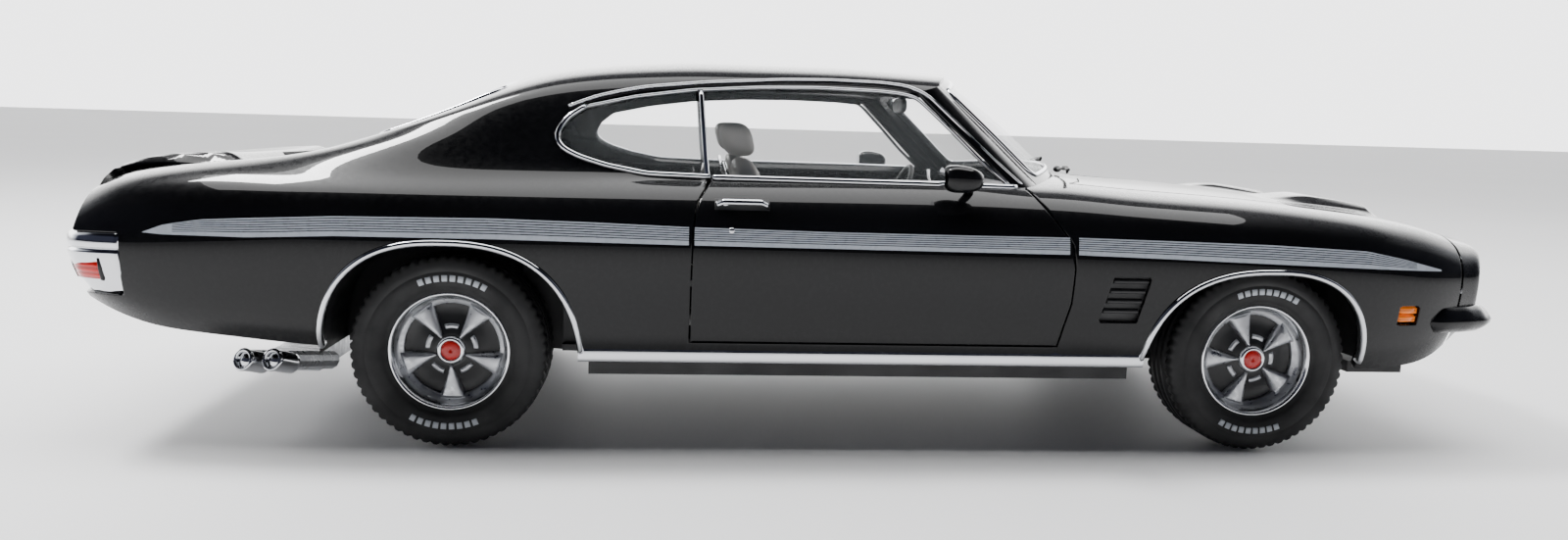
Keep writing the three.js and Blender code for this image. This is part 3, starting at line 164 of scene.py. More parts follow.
def stripe_skin():
    """Pale band with fine dark lines along it; v runs up the band and u along the car."""
    mat, tree, bsdf = shader("stripe_print", (0.5, 0.54, 0.6), 0.28, coat=0.6)
    uv = tree.nodes.new("ShaderNodeUVMap")
    split = tree.nodes.new("ShaderNodeSeparateXYZ")
    tree.links.new(uv.outputs["UV"], split.inputs["Vector"])

    def math_node(op, a, b):
        node = tree.nodes.new("ShaderNodeMath")
        node.operation = op
        for i, v in enumerate((a, b)):
            if isinstance(v, (int, float)):
                node.inputs[i].default_value = v
            else:
                tree.links.new(v, node.inputs[i])
        return node.outputs["Value"]

    u, v = split.outputs["X"], split.outputs["Y"]
    line = math_node("LESS_THAN", math_node("FRACT", math_node("MULTIPLY", v, 8.0), 0), 0.42)
    band = math_node("MULTIPLY", line, math_node("GREATER_THAN", v, 0.2))
    inside = math_node("MULTIPLY", math_node("GREATER_THAN", u, 0.022), math_node("LESS_THAN", u, 0.975))
    mask = math_node("MULTIPLY", band, inside)
    mix = tree.nodes.new("ShaderNodeMix")
    mix.data_type = "RGBA"
    mix.inputs["A"].default_value = (0.46, 0.50, 0.56, 1)
    mix.inputs["B"].default_value = (0.012, 0.013, 0.017, 1)
    tree.links.new(mask, mix.inputs["Factor"])
    tree.links.new(mix.outputs["Result"], bsdf.inputs["Base Color"])
    tree.links.new(spread(tree, noise(tree, 700, 4), 0.2, 0.38), bsdf.inputs["Roughness"])
    return mat


PAINT = lacquer()
CHROME = metal_skin("bright_plating", (0.70, 0.71, 0.735), 0.06)
SILVER = metal_skin("wheel_lacquer", (0.52, 0.53, 0.55), 0.36, 900, 0.08)
BRIGHT = metal_skin("trim_ring", (0.80, 0.81, 0.83), 0.13, 600, 0.03)
STEEL = metal_skin("plain_steel", (0.46, 0.47, 0.49), 0.3, 300, 0.1, (1, 6, 1))
GLASS = clear("clear_moulding", (0.80, 0.86, 0.88), 0.03)
# The red and amber mouldings carry a painted glow.
RED = lens("red_moulding", (0.50, 0.006, 0.005), 0.3)
AMBER = lens("amber_moulding", (0.95, 0.22, 0.02), 0.25)
LAMP = lens("lamp_moulding", (0.78, 0.80, 0.82), 0.0)
PLASTIC = varied("grained_black", (0.012, 0.012, 0.013), 0.5, 2600, 0.35, 0.00008)
SATIN = varied("satin_black", (0.008, 0.008, 0.009), 0.42, 1200, 0.15, 0.00005)
VINYL = varied("seat_vinyl", (0.60, 0.57, 0.53), 0.46, 2200, 0.3, 0.00008, shade=0.06)
CARD = varied("door_card", (0.014, 0.014, 0.015), 0.55, 1800, 0.4, 0.0001)
RUBBER = varied("tyre_rubber", (0.009, 0.009, 0.0095), 0.66, 1500, 0.25, 0.00006, shade=0.2)
WHITE = varied("raised_white", (0.50, 0.53, 0.57), 0.55, 1400, 0.2, 0.00004, shade=0.05)
BLOCK = varied("engine_lacquer", (0.05, 0.10, 0.17), 0.42, 900, 0.2, 0.00006)
CAP_RED = varied("cap_red", (0.50, 0.012, 0.010), 0.3, 800, 0.05, 0.00002, coat=0.3)
STRIPE = stripe_skin()


# ------------------------------------------------------------ making pieces
def piece(name, verts, faces, mat, body, slot, normals=None, replaces=(), smooth=True, uvs=None):
    mesh = bpy.data.meshes.new(name)
    mesh.from_pydata((np.asarray(verts, float) * MM).tolist(), [], [list(map(int, f)) for f in faces])
    mesh.materials.append(mat)
    mesh.polygons.foreach_set("use_smooth", [smooth] * len(mesh.polygons))
    if uvs is not None:
        layer = mesh.uv_layers.new(name="UVMap")
        loops = np.empty(len(mesh.loops), int)
        mesh.loops.foreach_get("vertex_index", loops)
        layer.data.foreach_set("uv", np.asarray(uvs, float)[loops].ravel())
    if normals is not None:
        mesh.normals_split_custom_set_from_vertices(np.asarray(normals, float).tolist())
    obj = bpy.data.objects.new(name, mesh)
    bpy.context.scene.collection.objects.link(obj)
    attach(obj, body)
    if replaces:
        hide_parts(*replaces)
    return obj


def flipped(verts, faces):
    out = np.array(verts, float)
    out[:, 1] *= -1
    return out, [tuple(reversed(f)) for f in faces]


def joined(parts):
    verts, faces, n = [], [], 0
    for v, f in parts:
        verts.append(np.asarray(v, float))
        faces += [tuple(i + n for i in g) for g in f]
        n += len(v)
    return np.concatenate(verts), faces


def grid_faces(rows, cols, wrap=False, wrap_rows=False):
    faces = []
    for i in range(rows if wrap_rows else rows - 1):
        for j in range(cols if wrap else cols - 1):
            k, m = (j + 1) % cols, (i + 1) % rows
            faces.append((i * cols + j, i * cols + k, m * cols + k, m * cols + j))
    return faces


def resampled(points, spacing, closed=False):
    p = np.asarray(points, float)
    if closed:
        p = np.vstack([p, p[:1]])
    d = np.r_[0, np.cumsum(np.linalg.norm(np.diff(p, axis=0), axis=1))]
    n = max(3, int(round(d[-1] / spacing)) + 1)
    s = np.linspace(0, d[-1], n)
    out = np.stack([np.interp(s, d, p[:, k]) for k in range(p.shape[1])], 1)
    return out[:-1] if closed else out


def eased(points, passes, closed=False):
    p = np.array(points, float)
    for _ in range(passes):
        if closed:
            p = (np.roll(p, 1, 0) + 2 * p + np.roll(p, -1, 0)) / 4
        else:
            q = p.copy()
            q[1:-1] = (p[:-2] + 2 * p[1:-1] + p[2:]) / 4
            p = q
    return p


def sweep(path, normals, profile, closed=False, caps=True):
    """Sweeps a closed profile of (across, out) points along a path; out follows the given normals."""
    p, n = np.asarray(path, float), np.asarray(normals, float)
    t = np.gradient(p, axis=0) if not closed else np.roll(p, -1, 0) - np.roll(p, 1, 0)
    t /= np.linalg.norm(t, axis=1)[:, None]
    n = n - (n * t).sum(1)[:, None] * t
    n /= np.linalg.norm(n, axis=1)[:, None]
    side = np.cross(n, t)
    q = np.asarray(profile, float)
    verts = (p[:, None] + side[:, None] * q[None, :, :1] + n[:, None] * q[None, :, 1:]).reshape(-1, 3)
    faces = grid_faces(len(p), len(q), wrap=True, wrap_rows=closed)
    if caps and not closed:
        last = (len(p) - 1) * len(q)
        faces += [tuple(reversed(range(len(q)))), tuple(last + k for k in range(len(q)))]
    return verts, faces


def half_round(width, height, count=8, sink=0.2):
    a = np.linspace(math.pi, 0, count)
    return [(-width / 2, -sink), *[(width / 2 * math.cos(x), height * math.sin(x)) for x in a],
        (width / 2, -sink)]


def lathe(profile, count, axis_y=0.0, center=(0, 0, 0), side=1):
    """(radius, out) points turned about the Y axis; side turns 'out' to the car's left or right."""
    q = np.asarray(profile, float)
    a = np.linspace(0, 2 * math.pi, count, endpoint=False)
    verts = np.stack([
        center[0] + np.outer(np.sin(a), q[:, 0]),
        center[1] + side * (axis_y + np.tile(q[:, 1], (count, 1))),
        center[2] - np.outer(np.cos(a), q[:, 0])], -1).reshape(-1, 3)
    faces = grid_faces(count, len(q), wrap_rows=True)
    return verts, faces if side > 0 else [tuple(reversed(f)) for f in faces]


# ------------------------------------------------------------ body surface
SIDE_RAILS = [
    [[-144, 42, 31], [-133, 46, 25.2], [-124, 47.5, 22.4], [-110, 48.5, 20.8], [-95, 49, 19.4], [-60,
        49.3, 17.4],
     [0, 49.3, 17.2], [60, 49.3, 17.2], [105, 48.8, 17], [118, 47.5, 17.6], [126, 45.5, 19.8], [131, 44,
         24.5], [144, 40, 29]],
    [[-144, 45, 32.5], [-133, 48.4, 28], [-124, 49.8, 25.4], [-110, 50.8, 23.6], [-95, 51.3, 22], [-60,
        51.5, 20.6],
     [60, 51.5, 20.5], [105, 50.8, 20.5], [118, 49.2, 21], [126, 47.2, 23], [131, 45.4, 26.5], [144, 41, 30]],
    [[-144, 46.2, 34.5], [-133, 49.6, 30.5], [-124, 51, 28.8], [-110, 52, 27.4], [-95, 52.7, 26.6], [-60,
        53.1, 26],
     [60, 53.1, 26], [105, 52.4, 26.2], [118, 50.6, 26.6], [126, 48.4, 27.6], [131, 46.4, 29], [144, 42,
         31.5]],
    [[-144, 46.8, 37.4], [-133, 50.6, 35.6], [-124, 52.2, 35], [-110, 53.4, 34.6], [-95, 54.1, 34.4],
        [-60, 54.4, 34.4],
     [60, 54.4, 34.4], [105, 53.7, 34.2], [118, 51.8, 33.8], [126, 49.4, 33.6], [131, 47.4, 33.8], [144,
         43, 35]],
    [[-144, 46.2, 40.2], [-133, 50.2, 41.4], [-124, 51.8, 41.9], [-110, 53.2, 42.2], [-95, 54.1, 42.4],
        [-60, 54.4, 42.4],
     [60, 54.3, 42], [105, 53.3, 41], [118, 51.2, 39.8], [126, 48.9, 38.9], [131, 46.9, 38.4], [144, 43,
         37.6]],
    [[-144, 43.5, 42.6], [-133, 47.6, 46.2], [-124, 49.5, 47.2], [-110, 51, 47.8], [-95, 52, 48], [-60,
        52.2, 48.2],
     [20, 51.7, 48.2], [60, 51.4, 47.6], [105, 49.8, 45.6], [118, 47.8, 44.2], [126, 45.8, 42.9], [131,
         44.2, 41.6],
     [144, 41, 39.4]],
    [[-144, 40.5, 43.6], [-133, 44, 48.6], [-124, 45.6, 50.2], [-110, 46.5, 51.2], [-95, 47.4, 51], [-80,
        47.8, 50.7],
     [-60, 47.6, 50.9], [-20, 47.2, 51.3], [20, 47, 51.5], [45, 46.6, 51.2], [60, 46, 50.4], [85, 44.8, 49.4],
     [105, 43.4, 47.8], [118, 41.8, 46.2], [126, 40.4, 44.6], [131, 39.4, 43], [144, 37, 40.4]],
]
REAR_RAILS = [
    [[-144, 37.5, 44.4], [-133, 40, 49.4], [-125, 41.4, 51], [-115, 42.4, 52.2], [-105, 43, 53], [-90, 44,
        54],
     [-75, 44.6, 54.6], [-62, 45, 54], [-52, 45, 53.6], [-40, 44.9, 52.6], [-24, 44.8, 51.9], [0, 44.6,
         52.2], [30, 44.2, 52.4]],
    [[-144, 33.5, 45.6], [-133, 36, 50.2], [-125, 37, 51.6], [-115, 38.5, 52.8], [-105, 39.5, 53.9], [-90,
        41, 56.2],
     [-75, 41.8, 58.4], [-62, 42, 59.6], [-52, 42, 60.4], [-24, 42, 60.8], [0, 42, 61], [30, 41.6, 61]],
    [[-144, 28, 46.6], [-133, 30, 50.4], [-125, 32, 51.2], [-115, 34, 52.2], [-105, 35.5, 53.6], [-90,
        37.6, 57.4],
     [-75, 38.6, 61.4], [-62, 38.8, 65], [-52, 38.6, 67], [-40, 38.3, 68.2], [-24, 38.3, 68.8], [0, 38.4,
         69.2], [30, 38.4, 69]],
    [[-144, 21, 47], [-133, 22, 50.6], [-125, 23, 51], [-115, 26, 51.6], [-105, 30, 52.8], [-90, 34.5,
        57.8], [-75, 36, 63.4],
     [-62, 35.6, 68.2], [-52, 35, 70.8], [-40, 34.6, 72.2], [-24, 34.6, 73], [0, 34.5, 73.2], [30, 34.5,
         72.4]],
    [[-144, 11, 47.2], [-133, 12, 50.6], [-125, 12, 50.8], [-115, 13, 51.2], [-105, 15, 52.6], [-90, 17,
        57], [-75, 18, 63.6],
     [-62, 18, 70.8], [-52, 18, 73.2], [-40, 18, 74.6], [-24, 18, 75.4], [0, 18, 75.4], [30, 17, 74]],
    [[-144, 0, 47.2], [-133, 0, 50.6], [-125, 0, 50.8], [-115, 0, 51.2], [-105, 0, 52.4], [-90, 0, 56.8],
        [-75, 0, 63.8],
     [-62, 0, 71.2], [-52, 0, 73.6], [-40, 0, 75], [-24, 0, 75.8], [0, 0, 75.8], [30, 0, 74.4]],
]
FRONT_RAILS = [
    [[10, 40.5, 52], [35, 40, 52.2], [45, 38.5, 52.4], [60, 37.5, 51.5], [85, 36.5, 49.9], [105, 35.4, 48.1],
     [118, 34.4, 46.6], [126, 33.6, 45], [131, 33, 43.6], [144, 31, 41]],
    [[10, 26, 53], [35, 26, 53.4], [45, 25.5, 53.6], [60, 25, 52.4], [85, 24.5, 50.9], [105, 24, 49.2],
        [118, 23.5, 47.5],
     [126, 23, 45.8], [131, 22.8, 44.4], [144, 22, 41.4]],
    [[10, 0, 53.4], [35, 0, 54], [45, 0, 54.2], [60, 0, 52.8], [85, 0, 51.3], [105, 0, 49.7], [118, 0,
        48], [126, 0, 46.3],
     [131, 0, 44.8], [144, 0, 41.8]],
]
STEP_X = 0.25
GRID_X = np.arange(-150, 150 + STEP_X, STEP_X)
SPREAD = 2.4  # mm over which each rail is averaged


def rail_table(rail):
    p = np.array(rail, float)
    xs, out = p[:, 0], []
    kernel = np.exp(-0.5 * (np.arange(-40, 41) * STEP_X / SPREAD) ** 2)
    kernel /= kernel.sum()
    for c in (1, 2):
        v = p[:, c]
        slope = np.diff(v) / np.diff(xs)
        tan = np.r_[slope[0], np.zeros(len(v) - 2), slope[-1]]
        for i in range(1, len(v) - 1):
            a, b = slope[i - 1], slope[i]
            tan[i] = 0 if a * b <= 0 else 2 * a * b / (a + b)
        i = np.clip(np.searchsorted(xs, GRID_X, side="right") - 1, 0, len(v) - 2)
        h = xs[i + 1] - xs[i]
        t = np.clip((GRID_X - xs[i]) / h, 0, 1)
        y = ((2 * t**3 - 3 * t**2 + 1) * v[i] + (t**3 - 2 * t**2 + t) * h * tan[i]
             + (3 * t**2 - 2 * t**3) * v[i + 1] + (t**3 - t**2) * h * tan[i + 1])
        out.append(np.convolve(np.pad(y, 40, mode="edge"), kernel, mode="valid"))
    return np.stack(out)


def table(rails):
    t = [rail_table(r) for r in rails]
    return np.stack([t[0], t[0], *t, t[-1], t[-1]])


SURFACE = {"cabin": table(SIDE_RAILS + REAR_RAILS), "front": table(SIDE_RAILS + FRONT_RAILS)}
LAST = {k: v.shape[0] - 3 for k, v in SURFACE.items()}  # end of the cross-section parameter


def section(kind, x, t):
    tab = SURFACE[kind]
    x, t = np.broadcast_arrays(np.asarray(x, float), np.asarray(t, float))
    f = (x - GRID_X[0]) / STEP_X
    i = np.clip(np.floor(f).astype(int), 0, len(GRID_X) - 2)
    a = f - i
    k = np.clip(np.floor(t).astype(int), 0, LAST[kind] - 1)
    u = t - k
    w = ((1 - u) ** 3 / 6, (3 * u**3 - 6 * u**2 + 4) / 6, (-3 * u**3 + 3 * u**2 + 3 * u + 1) / 6, u**3 / 6)
    y, z = [sum(w[j] * (tab[k + j, c, i] * (1 - a) + tab[k + j, c,
        i + 1] * a) for j in range(4)) for c in (0, 1)]
    return y, z


def t_at_height(kind, x, z):
    ts = np.linspace(0, LAST[kind], 500)
    out = []
    for a, b in zip(np.atleast_1d(x), np.atleast_1d(z)):
        zz = np.maximum.accumulate(section(kind, a, ts)[1])
        out.append(np.interp(b, zz + np.arange(500) * 1e-9, ts))
    return np.array(out)


def t_at_offset(kind, x, y):
    ts = np.linspace(0, LAST[kind], 500)
    out = []
    for a, b in zip(np.atleast_1d(x), np.atleast_1d(y)):
        yy = section(kind, a, ts)[0]
        m = int(np.argmax(yy))
        out.append(np.interp(-b, -np.minimum.accumulate(yy[m:]), ts[m:]))
    return np.array(out)


def surface_point(kind, lift=None):
    """The surface as a function of station x and section parameter t, with an optional rise(x, y)."""
    def at(x, t):
        if kind == "door":
            w = np.clip((x - 26) / 18, 0, 1)
            w = w * w * (3 - 2 * w)
            ya, za = section("cabin", x, t)
            yb, zb = section("front", x, np.minimum(t, LAST["front"]))
            y, z = ya * (1 - w) + yb * w, za * (1 - w) + zb * w
        else:
            y, z = section(kind, x, t)
        if lift is not None:
            z = z + lift(x, y)
        return np.stack([np.broadcast_to(x, y.shape), y, z], -1)
    return at


def with_normals(at, x, t, top):
    p = at(x, t)
    hx, ht = 0.35, 0.04
    dx = at(x + hx, t) - at(x - hx, t)
    hi, lo = np.minimum(t + ht, top), np.maximum(t - ht, 0)
    dt = at(x, hi) - at(x, lo)
    n = np.cross(dt, dx)
    n[t >= top - 1e-6, 1] = 0
    n /= np.linalg.norm(n, axis=1)[:, None]
    return p, n


def inside(points, poly):
    x, y = points[:, 0][:, None], points[:, 1][:, None]
    a, b = poly, np.roll(poly, -1, 0)
    cross = (a[None, :, 1] > y) != (b[None, :, 1] > y)
    with np.errstate(divide="ignore", invalid="ignore"):
        xi = (b[None, :, 0] - a[None, :, 0]) * (y - a[None, :, 1]) / (b[None, :, 1] - a[None, :,
            1]) + a[None, :, 0]
    return ((cross & (x < xi)).sum(1) % 2) == 1


def edge_distance(points, poly):
    a, b = poly, np.roll(poly, -1, 0)
    best = np.full(len(points), 1e9)
    for p, q in zip(a, b):
        d = q - p
        s = np.clip(((points - p) @ d) / (d @ d + 1e-12), 0, 1)
        best = np.minimum(best, np.linalg.norm(points - (p + s[:, None] * d), axis=1))
    return best


def area_of(poly):
    return 0.5 * np.sum(poly[:, 0] * np.roll(poly[:, 1], -1) - np.roll(poly[:, 0], -1) * poly[:, 1])


def offset(poly, amount):
    """Moves a closed outline outwards by amount."""
    d = np.roll(poly, -1, 0) - np.roll(poly, 1, 0)
    n = np.stack([d[:, 1], -d[:, 0]], 1)
    n /= np.linalg.norm(n, axis=1)[:, None] + 1e-12
    return poly + n * amount * (1 if area_of(poly) > 0 else -1)


ACROSS = 7.0  # mm of panel for each unit of the section parameter, so that the flat pattern is near true size
EDGE = 0.28  # width of the rounded edge of a panel


def cut_pattern(outer, holes, step):
    """Triangulates a flat pattern (x, t * ACROSS) inside an outline and outside its holes."""
    loops = [outer, *holes]
    rims = [offset(outer, -EDGE)] + [offset(h, EDGE) for h in holes]
    lo, hi = outer.min(0), outer.max(0)
    gx, gy = np.meshgrid(np.arange(lo[0] + step / 2, hi[0], step), np.arange(lo[1] + step / 2, hi[1], step))
    pts = np.stack([gx.ravel(), gy.ravel()], 1)
    keep = inside(pts, outer)
    for h in holes:
        keep &= ~inside(pts, h)
    pts = pts[keep]
    for loop in loops:
        pts = pts[edge_distance(pts, loop) > EDGE + 0.45 * step]
    coords, edges = [tuple(p) for p in pts], []
    for loop in loops + rims:
        n = len(coords)
        coords += [tuple(p) for p in loop]
        edges += [(n + i, n + (i + 1) % len(loop)) for i in range(len(loop))]
    out = delaunay_2d_cdt([Vector(c) for c in coords], edges, [], 0, 1e-6, False)
    verts = np.array([tuple(v) for v in out[0]])
    tris = np.array([f for f in out[2] if len(f) == 3])
    mid = verts[tris].mean(1)
    ok = inside(mid, outer)
    for h in holes:
        ok &= ~inside(mid, h)
    tris = tris[ok]
    e1, e2 = verts[tris[:, 1]] - verts[tris[:, 0]], verts[tris[:, 2]] - verts[tris[:, 0]]
    area = e1[:, 0] * e2[:, 1] - e1[:, 1] * e2[:, 0]
    tris = tris[np.abs(area) > 1e-7]
    area = area[np.abs(area) > 1e-7]
    tris[area < 0] = tris[area < 0][:, ::-1]
    used, inverse = np.unique(tris, return_inverse=True)
    return verts[used], inverse.reshape(-1, 3)


def skin(at, top, pattern, tris, thick, seam_t=None):
    """Gives a flat pattern its place on the surface, a rounded edge, edge walls and an inner face."""
    x, t = pattern[:, 0], np.clip(pattern[:, 1] / ACROSS, 0, top)
    p, n = with_normals(at, x, t, top)
    tris = tris[:, ::-1]
    pairs = {}
    for tri in tris:
        for a, b in ((tri[0], tri[1]), (tri[1], tri[2]), (tri[2], tri[0])):
            key = (min(a, b), max(a, b))
            pairs[key] = None if key in pairs else (a, b)
    rim = [v for v in pairs.values() if v is not None]
    seam = np.zeros(len(p), bool)
    seam[t >= top - 1e-6] = True
    if seam_t is not None:
        seam |= seam_t(x, t)
    rim = [(a, b) for a, b in rim if not (seam[a] and seam[b])]
    wall = np.zeros_like(p)
    for a, b in rim:
        w = np.cross(p[b] - p[a], n[a] + n[b])
        wall[a] += w
        wall[b] += w
    length = np.linalg.norm(wall, axis=1)
    on = length > 1e-9
    wall[on] /= length[on][:, None]
    outer_n = n.copy()
    outer_n[on] = n[on] * 0.8 + wall[on] * 0.6
    outer_p = p.copy()
    outer_p[on] -= n[on] * 0.1
    inner_p = p - n * thick
    count = len(p)
    verts = [outer_p, inner_p]
    norms = [outer_n, -n]
    faces = [tuple(f) for f in tris] + [tuple(f[::-1] + count) for f in tris]
    k = 2 * count
    top_i, low_i = {}, {}
    extra, extra_n = [], []
    for v in np.nonzero(on)[0]:
        top_i[v], low_i[v] = k, k + 1
        extra += [outer_p[v], inner_p[v]]
        extra_n += [wall[v], wall[v]]
        k += 2
    for a, b in rim:
        faces.append((top_i[b], top_i[a], low_i[a], low_i[b]))
    if extra:
        verts.append(np.array(extra))
        norms.append(np.array(extra_n))
    return np.concatenate(verts), faces, np.concatenate(norms)


def both_halves(verts, faces, norms):
    v2, f2 = flipped(verts, faces)
    n2 = norms.copy()
    n2[:, 1] *= -1
    return np.concatenate([verts,
        v2]), faces + [tuple(i + len(verts) for i in f) for f in f2], np.concatenate([norms, n2])


# ------------------------------------------------------------ body panels
AT = {kind: surface_point(kind) for kind in ("cabin", "front", "door")}
TOP = {"cabin": LAST["cabin"], "front": LAST["front"], "door": LAST["front"]}


def by_height(kind, points):
    """Side-view (x, z) points placed in the flat pattern of a surface."""
    ts = np.linspace(0, min(TOP[kind], 11), 700)
    out = []
    for x, z in np.asarray(points, float):
        zz = np.maximum.accumulate(AT[kind](np.full(700, x), ts)[:, 2]) + np.arange(700) * 1e-8
        out.append((x, np.interp(z, zz, ts) * ACROSS))
    return np.array(out)


def by_offset(kind, points):
    """Plan-view (x, y) points placed in the flat pattern of a surface."""
    p = np.asarray(points, float)
    return np.stack([p[:, 0], t_at_offset(kind, p[:, 0], p[:, 1]) * ACROSS], 1)


def side_at(kind, x, z, out=0.0):
    q = by_height(kind, np.stack([np.atleast_1d(x), np.atleast_1d(z)], 1))
    p, n = with_normals(AT[kind], q[:, 0], q[:, 1] / ACROSS, TOP[kind])
    return p + n * out, n


def arch(axle, behind, ahead, height, grow=0.0, count=48):
    a = np.linspace(math.pi, 0, count)
    c, s = np.cos(a), np.sin(a)
    reach = np.where(c > 0, ahead + grow, behind + grow)
    x = axle + np.sign(c) * np.abs(c) ** 0.8 * reach
    z = 15 + np.abs(s) ** 0.8 * (height + grow - 15)
    return np.stack([x, z], 1)


REAR_ARCH = (-71.75, 22.6, 24.4, 39.2)
FRONT_ARCH = (86.25, 24.6, 20.4, 36.6)
DOOR = [(-27, 21.2), (44.2, 21.2), (44.9, 25.5), (45.9, 30), (46.1, 36.8), (45.5, 41.5), (43, 45), (40.6,
    48.3), (38, 51.8),
        (34, 52.5), (-23, 52.5), (-24.4, 50.4), (-25.6, 48.4), (-26.3, 46), (-26.7, 40), (-26.9, 31)]
WINDOW_TOP = [(16.6, 69.1), (10, 69.6), (-2, 69.8), (-14, 69.5), (-27, 68.6), (-38, 67), (-47.5, 64.9),
    (-50.6, 62.4),
              (-52.4, 59.4), (-51.6, 57.2), (-48.3, 55.6), (-42.8, 54), (-35.5, 52.7), (-24, 52.3)]
DOOR_GLASS = [(35.4, 51), (17.4, 69.3), (10, 69.9), (-2, 70.1), (-14, 69.8), (-25.6, 68.9), (-23.2, 51),
    (0, 51)]
QUARTER_GLASS = [(-24.2, 52), (-26.6, 68.9), (-38, 67.3), (-47.7, 65.2), (-50.9, 62.6), (-52.8, 59.4),
    (-51.9, 56.9),
                 (-48.4, 55.2), (-42.9, 53.6), (-35.5, 52.3)]
BONNET = [(59.5, 0), (57.8, 18), (53.5, 31), (49.2, 37.2), (60, 36.8), (85, 35.8), (105, 34.8), (118,
    33.6), (124.6, 31.4),
          (126.6, 27), (127.4, 0)]
BOOT_LID = [(-95.5, 0), (-95.8, 18), (-96.4, 28.6), (-97.6, 30.2), (-100, 31), (-120, 30.6), (-133, 29.4),
    (-138.9, 28.6)]
VENT = [(53.6, 35.5), (61.1, 35.5), (59.1, 26.5), (51.3, 26.5)]
MARKER = [(113, 26.5), (117.7, 26.5), (117.7, 30.4), (113, 30.4)]
FRONT_X = 127.9


def screen_base(s):
    return np.stack([55 - 13 * s**2, 40 * s, 53.4 - 1.6 * s**2], -1)


def screen_top(s):
    return np.stack([28.5 - 6.5 * s**2, 36 * s, 74.2 - 3.2 * s**2], -1)


def tail_line(z, y=0.0):
    """Rear edge of the body: it slopes forward above the bumper and round the corners."""
    y = np.abs(y)
    corner = np.clip((y - 18) / 29, 0, 1)
    return np.where(z <= 40.2, -141.9, -141.9 + (z - 40.2) * 2.3 / 11.4) + 4.0 * corner**2 * (3 - 2 * corner)


def dense(points, spacing=0.9, closed=False):
    return resampled(points, spacing, closed)


# The quarter, sill, roof, pillar and deck on one side, in one skin.
tail_t = np.linspace(0, t_at_offset("cabin", [-140], [28.4])[0], 160)
tail_p = AT["cabin"](np.full(160, -139.0), tail_t)
tail_p = tail_p[tail_p[:, 2] > 39.9]
tail_t = tail_t[-len(tail_p):]
tail_edge = np.stack([tail_line(tail_p[:, 2], tail_p[:, 1]), tail_t * ACROSS], 1)
notch = by_height("cabin", dense([(-137.6, 28.3), (-128.9, 28.3), (-128.9, 39.9), (-137.4, 39.9)]))
lid_edge = by_offset("cabin", dense(BOOT_LID[::-1]))
window_low = by_offset("cabin", [(-88.3, y) for y in np.linspace(0, 29.6, 30)])
window_side = by_offset("cabin",
    dense([(-88.3, 29.6), (-87.9, 31.0), (-86.6, 31.7), (-67, 30.2), (-65.3, 29.3), (-64.6, 27.6)], 0.7))
window_high = by_offset("cabin", [(-64.6, y) for y in np.linspace(27.6, 0, 30)])
roof_s = np.linspace(0, 1, 30)
roof_edge = by_offset("cabin", screen_top(roof_s)[:, :2])
glass_edge = by_height("cabin", dense(WINDOW_TOP))
door_rear = by_height("cabin", dense([(-24.2, 52.2), *DOOR[11:], DOOR[0]]))
door_foot = by_height("cabin", dense([DOOR[0], DOOR[1]]))
rear_arch = by_height("cabin", arch(*REAR_ARCH)[::-1])
center = np.array([[x, TOP["cabin"] * ACROSS] for x in (-95.5, -88.3)])
cabin_outline = np.concatenate([
    notch, tail_edge, lid_edge[1:-1], center[:1], center[1:], window_low[1:], window_side[1:],
        window_high[1:-1],
    [[-64.6, TOP["cabin"] * ACROSS]], [[28.5, TOP["cabin"] * ACROSS]], roof_edge[1:], glass_edge,
        door_rear[1:],
    door_foot[1:], [[44.2, 0.0]], rear_arch, [[-120, 0.0], [-137.6, 0.0]]])


def tidy_loop(points, least=0.12):
    out = [points[0]]
    for p in points[1:]:
        if np.linalg.norm(p - out[-1]) > least:
            out.append(p)
    if np.linalg.norm(out[0] - out[-1]) < least:
        out.pop()
    return np.array(out)


def paneled(kind, outer, holes, step, thick, at=None, seam=None):
    at = at or AT[kind]
    pattern, tris = cut_pattern(tidy_loop(outer), [tidy_loop(h) for h in holes], step)
    return skin(at, TOP[kind], pattern, tris, thick, seam)


cabin = paneled("cabin", cabin_outline, [], 1.25, 1.6, seam=lambda x, t: (x > 44.1) & (t < 2))

front_arch = by_height("front", arch(*FRONT_ARCH))
wing_top = by_offset("front", dense(BONNET[:10])[::-1])
join_t = t_at_offset("front", [FRONT_X], [27.0])[0]
scuttle_s = np.linspace(0, 1, 24)
wing_outline = np.concatenate([
    [[44.2, 0.0]], front_arch, [[FRONT_X, 0.0]],
    np.stack([np.full(40, FRONT_X), np.linspace(0, join_t, 40) * ACROSS], 1)[1:], wing_top[:-1],
    [[59.5, TOP["front"] * ACROSS]], [[55.0, TOP["front"] * ACROSS]],
    by_offset("front", screen_base(scuttle_s)[:, :2])[1:],
    by_height("front", dense([(38.4, 51.6), *DOOR[7:1:-1], DOOR[1]])), ])
wing = paneled("front", wing_outline, [by_height("front", dense(VENT, closed=True)),
    by_height("front", dense(MARKER, closed=True))],
               1.25, 1.6, seam=lambda x, t: (x < 44.3) & (t < 2))
body = both_halves(*cabin)
front_body = both_halves(*wing)
piece("body_rear_skin", *body[:2], PAINT, "car_body", "body_paint", normals=body[2], replaces=("body_shell",))
piece("body_front_skin", *front_body[:2], PAINT, "car_body", "body_paint", normals=front_body[2])

# Tail panel under the lid, between the quarters.
ty, tz = np.linspace(-1, 1, 61), np.linspace(37.5, 50.4, 34)
yy, zz = np.meshgrid(ty, tz)
half = np.interp(zz, [24, 30, 36, 41, 46, 49, 50.4], [44, 46.4, 46.6, 45.6, 43.2, 39.2, 34])
tail = np.stack([tail_line(zz, yy * half) + 0.3, yy * half, zz], -1).reshape(-1, 3)
piece("tail_panel", tail, grid_faces(34, 61), PAINT, "car_body", "body_paint")


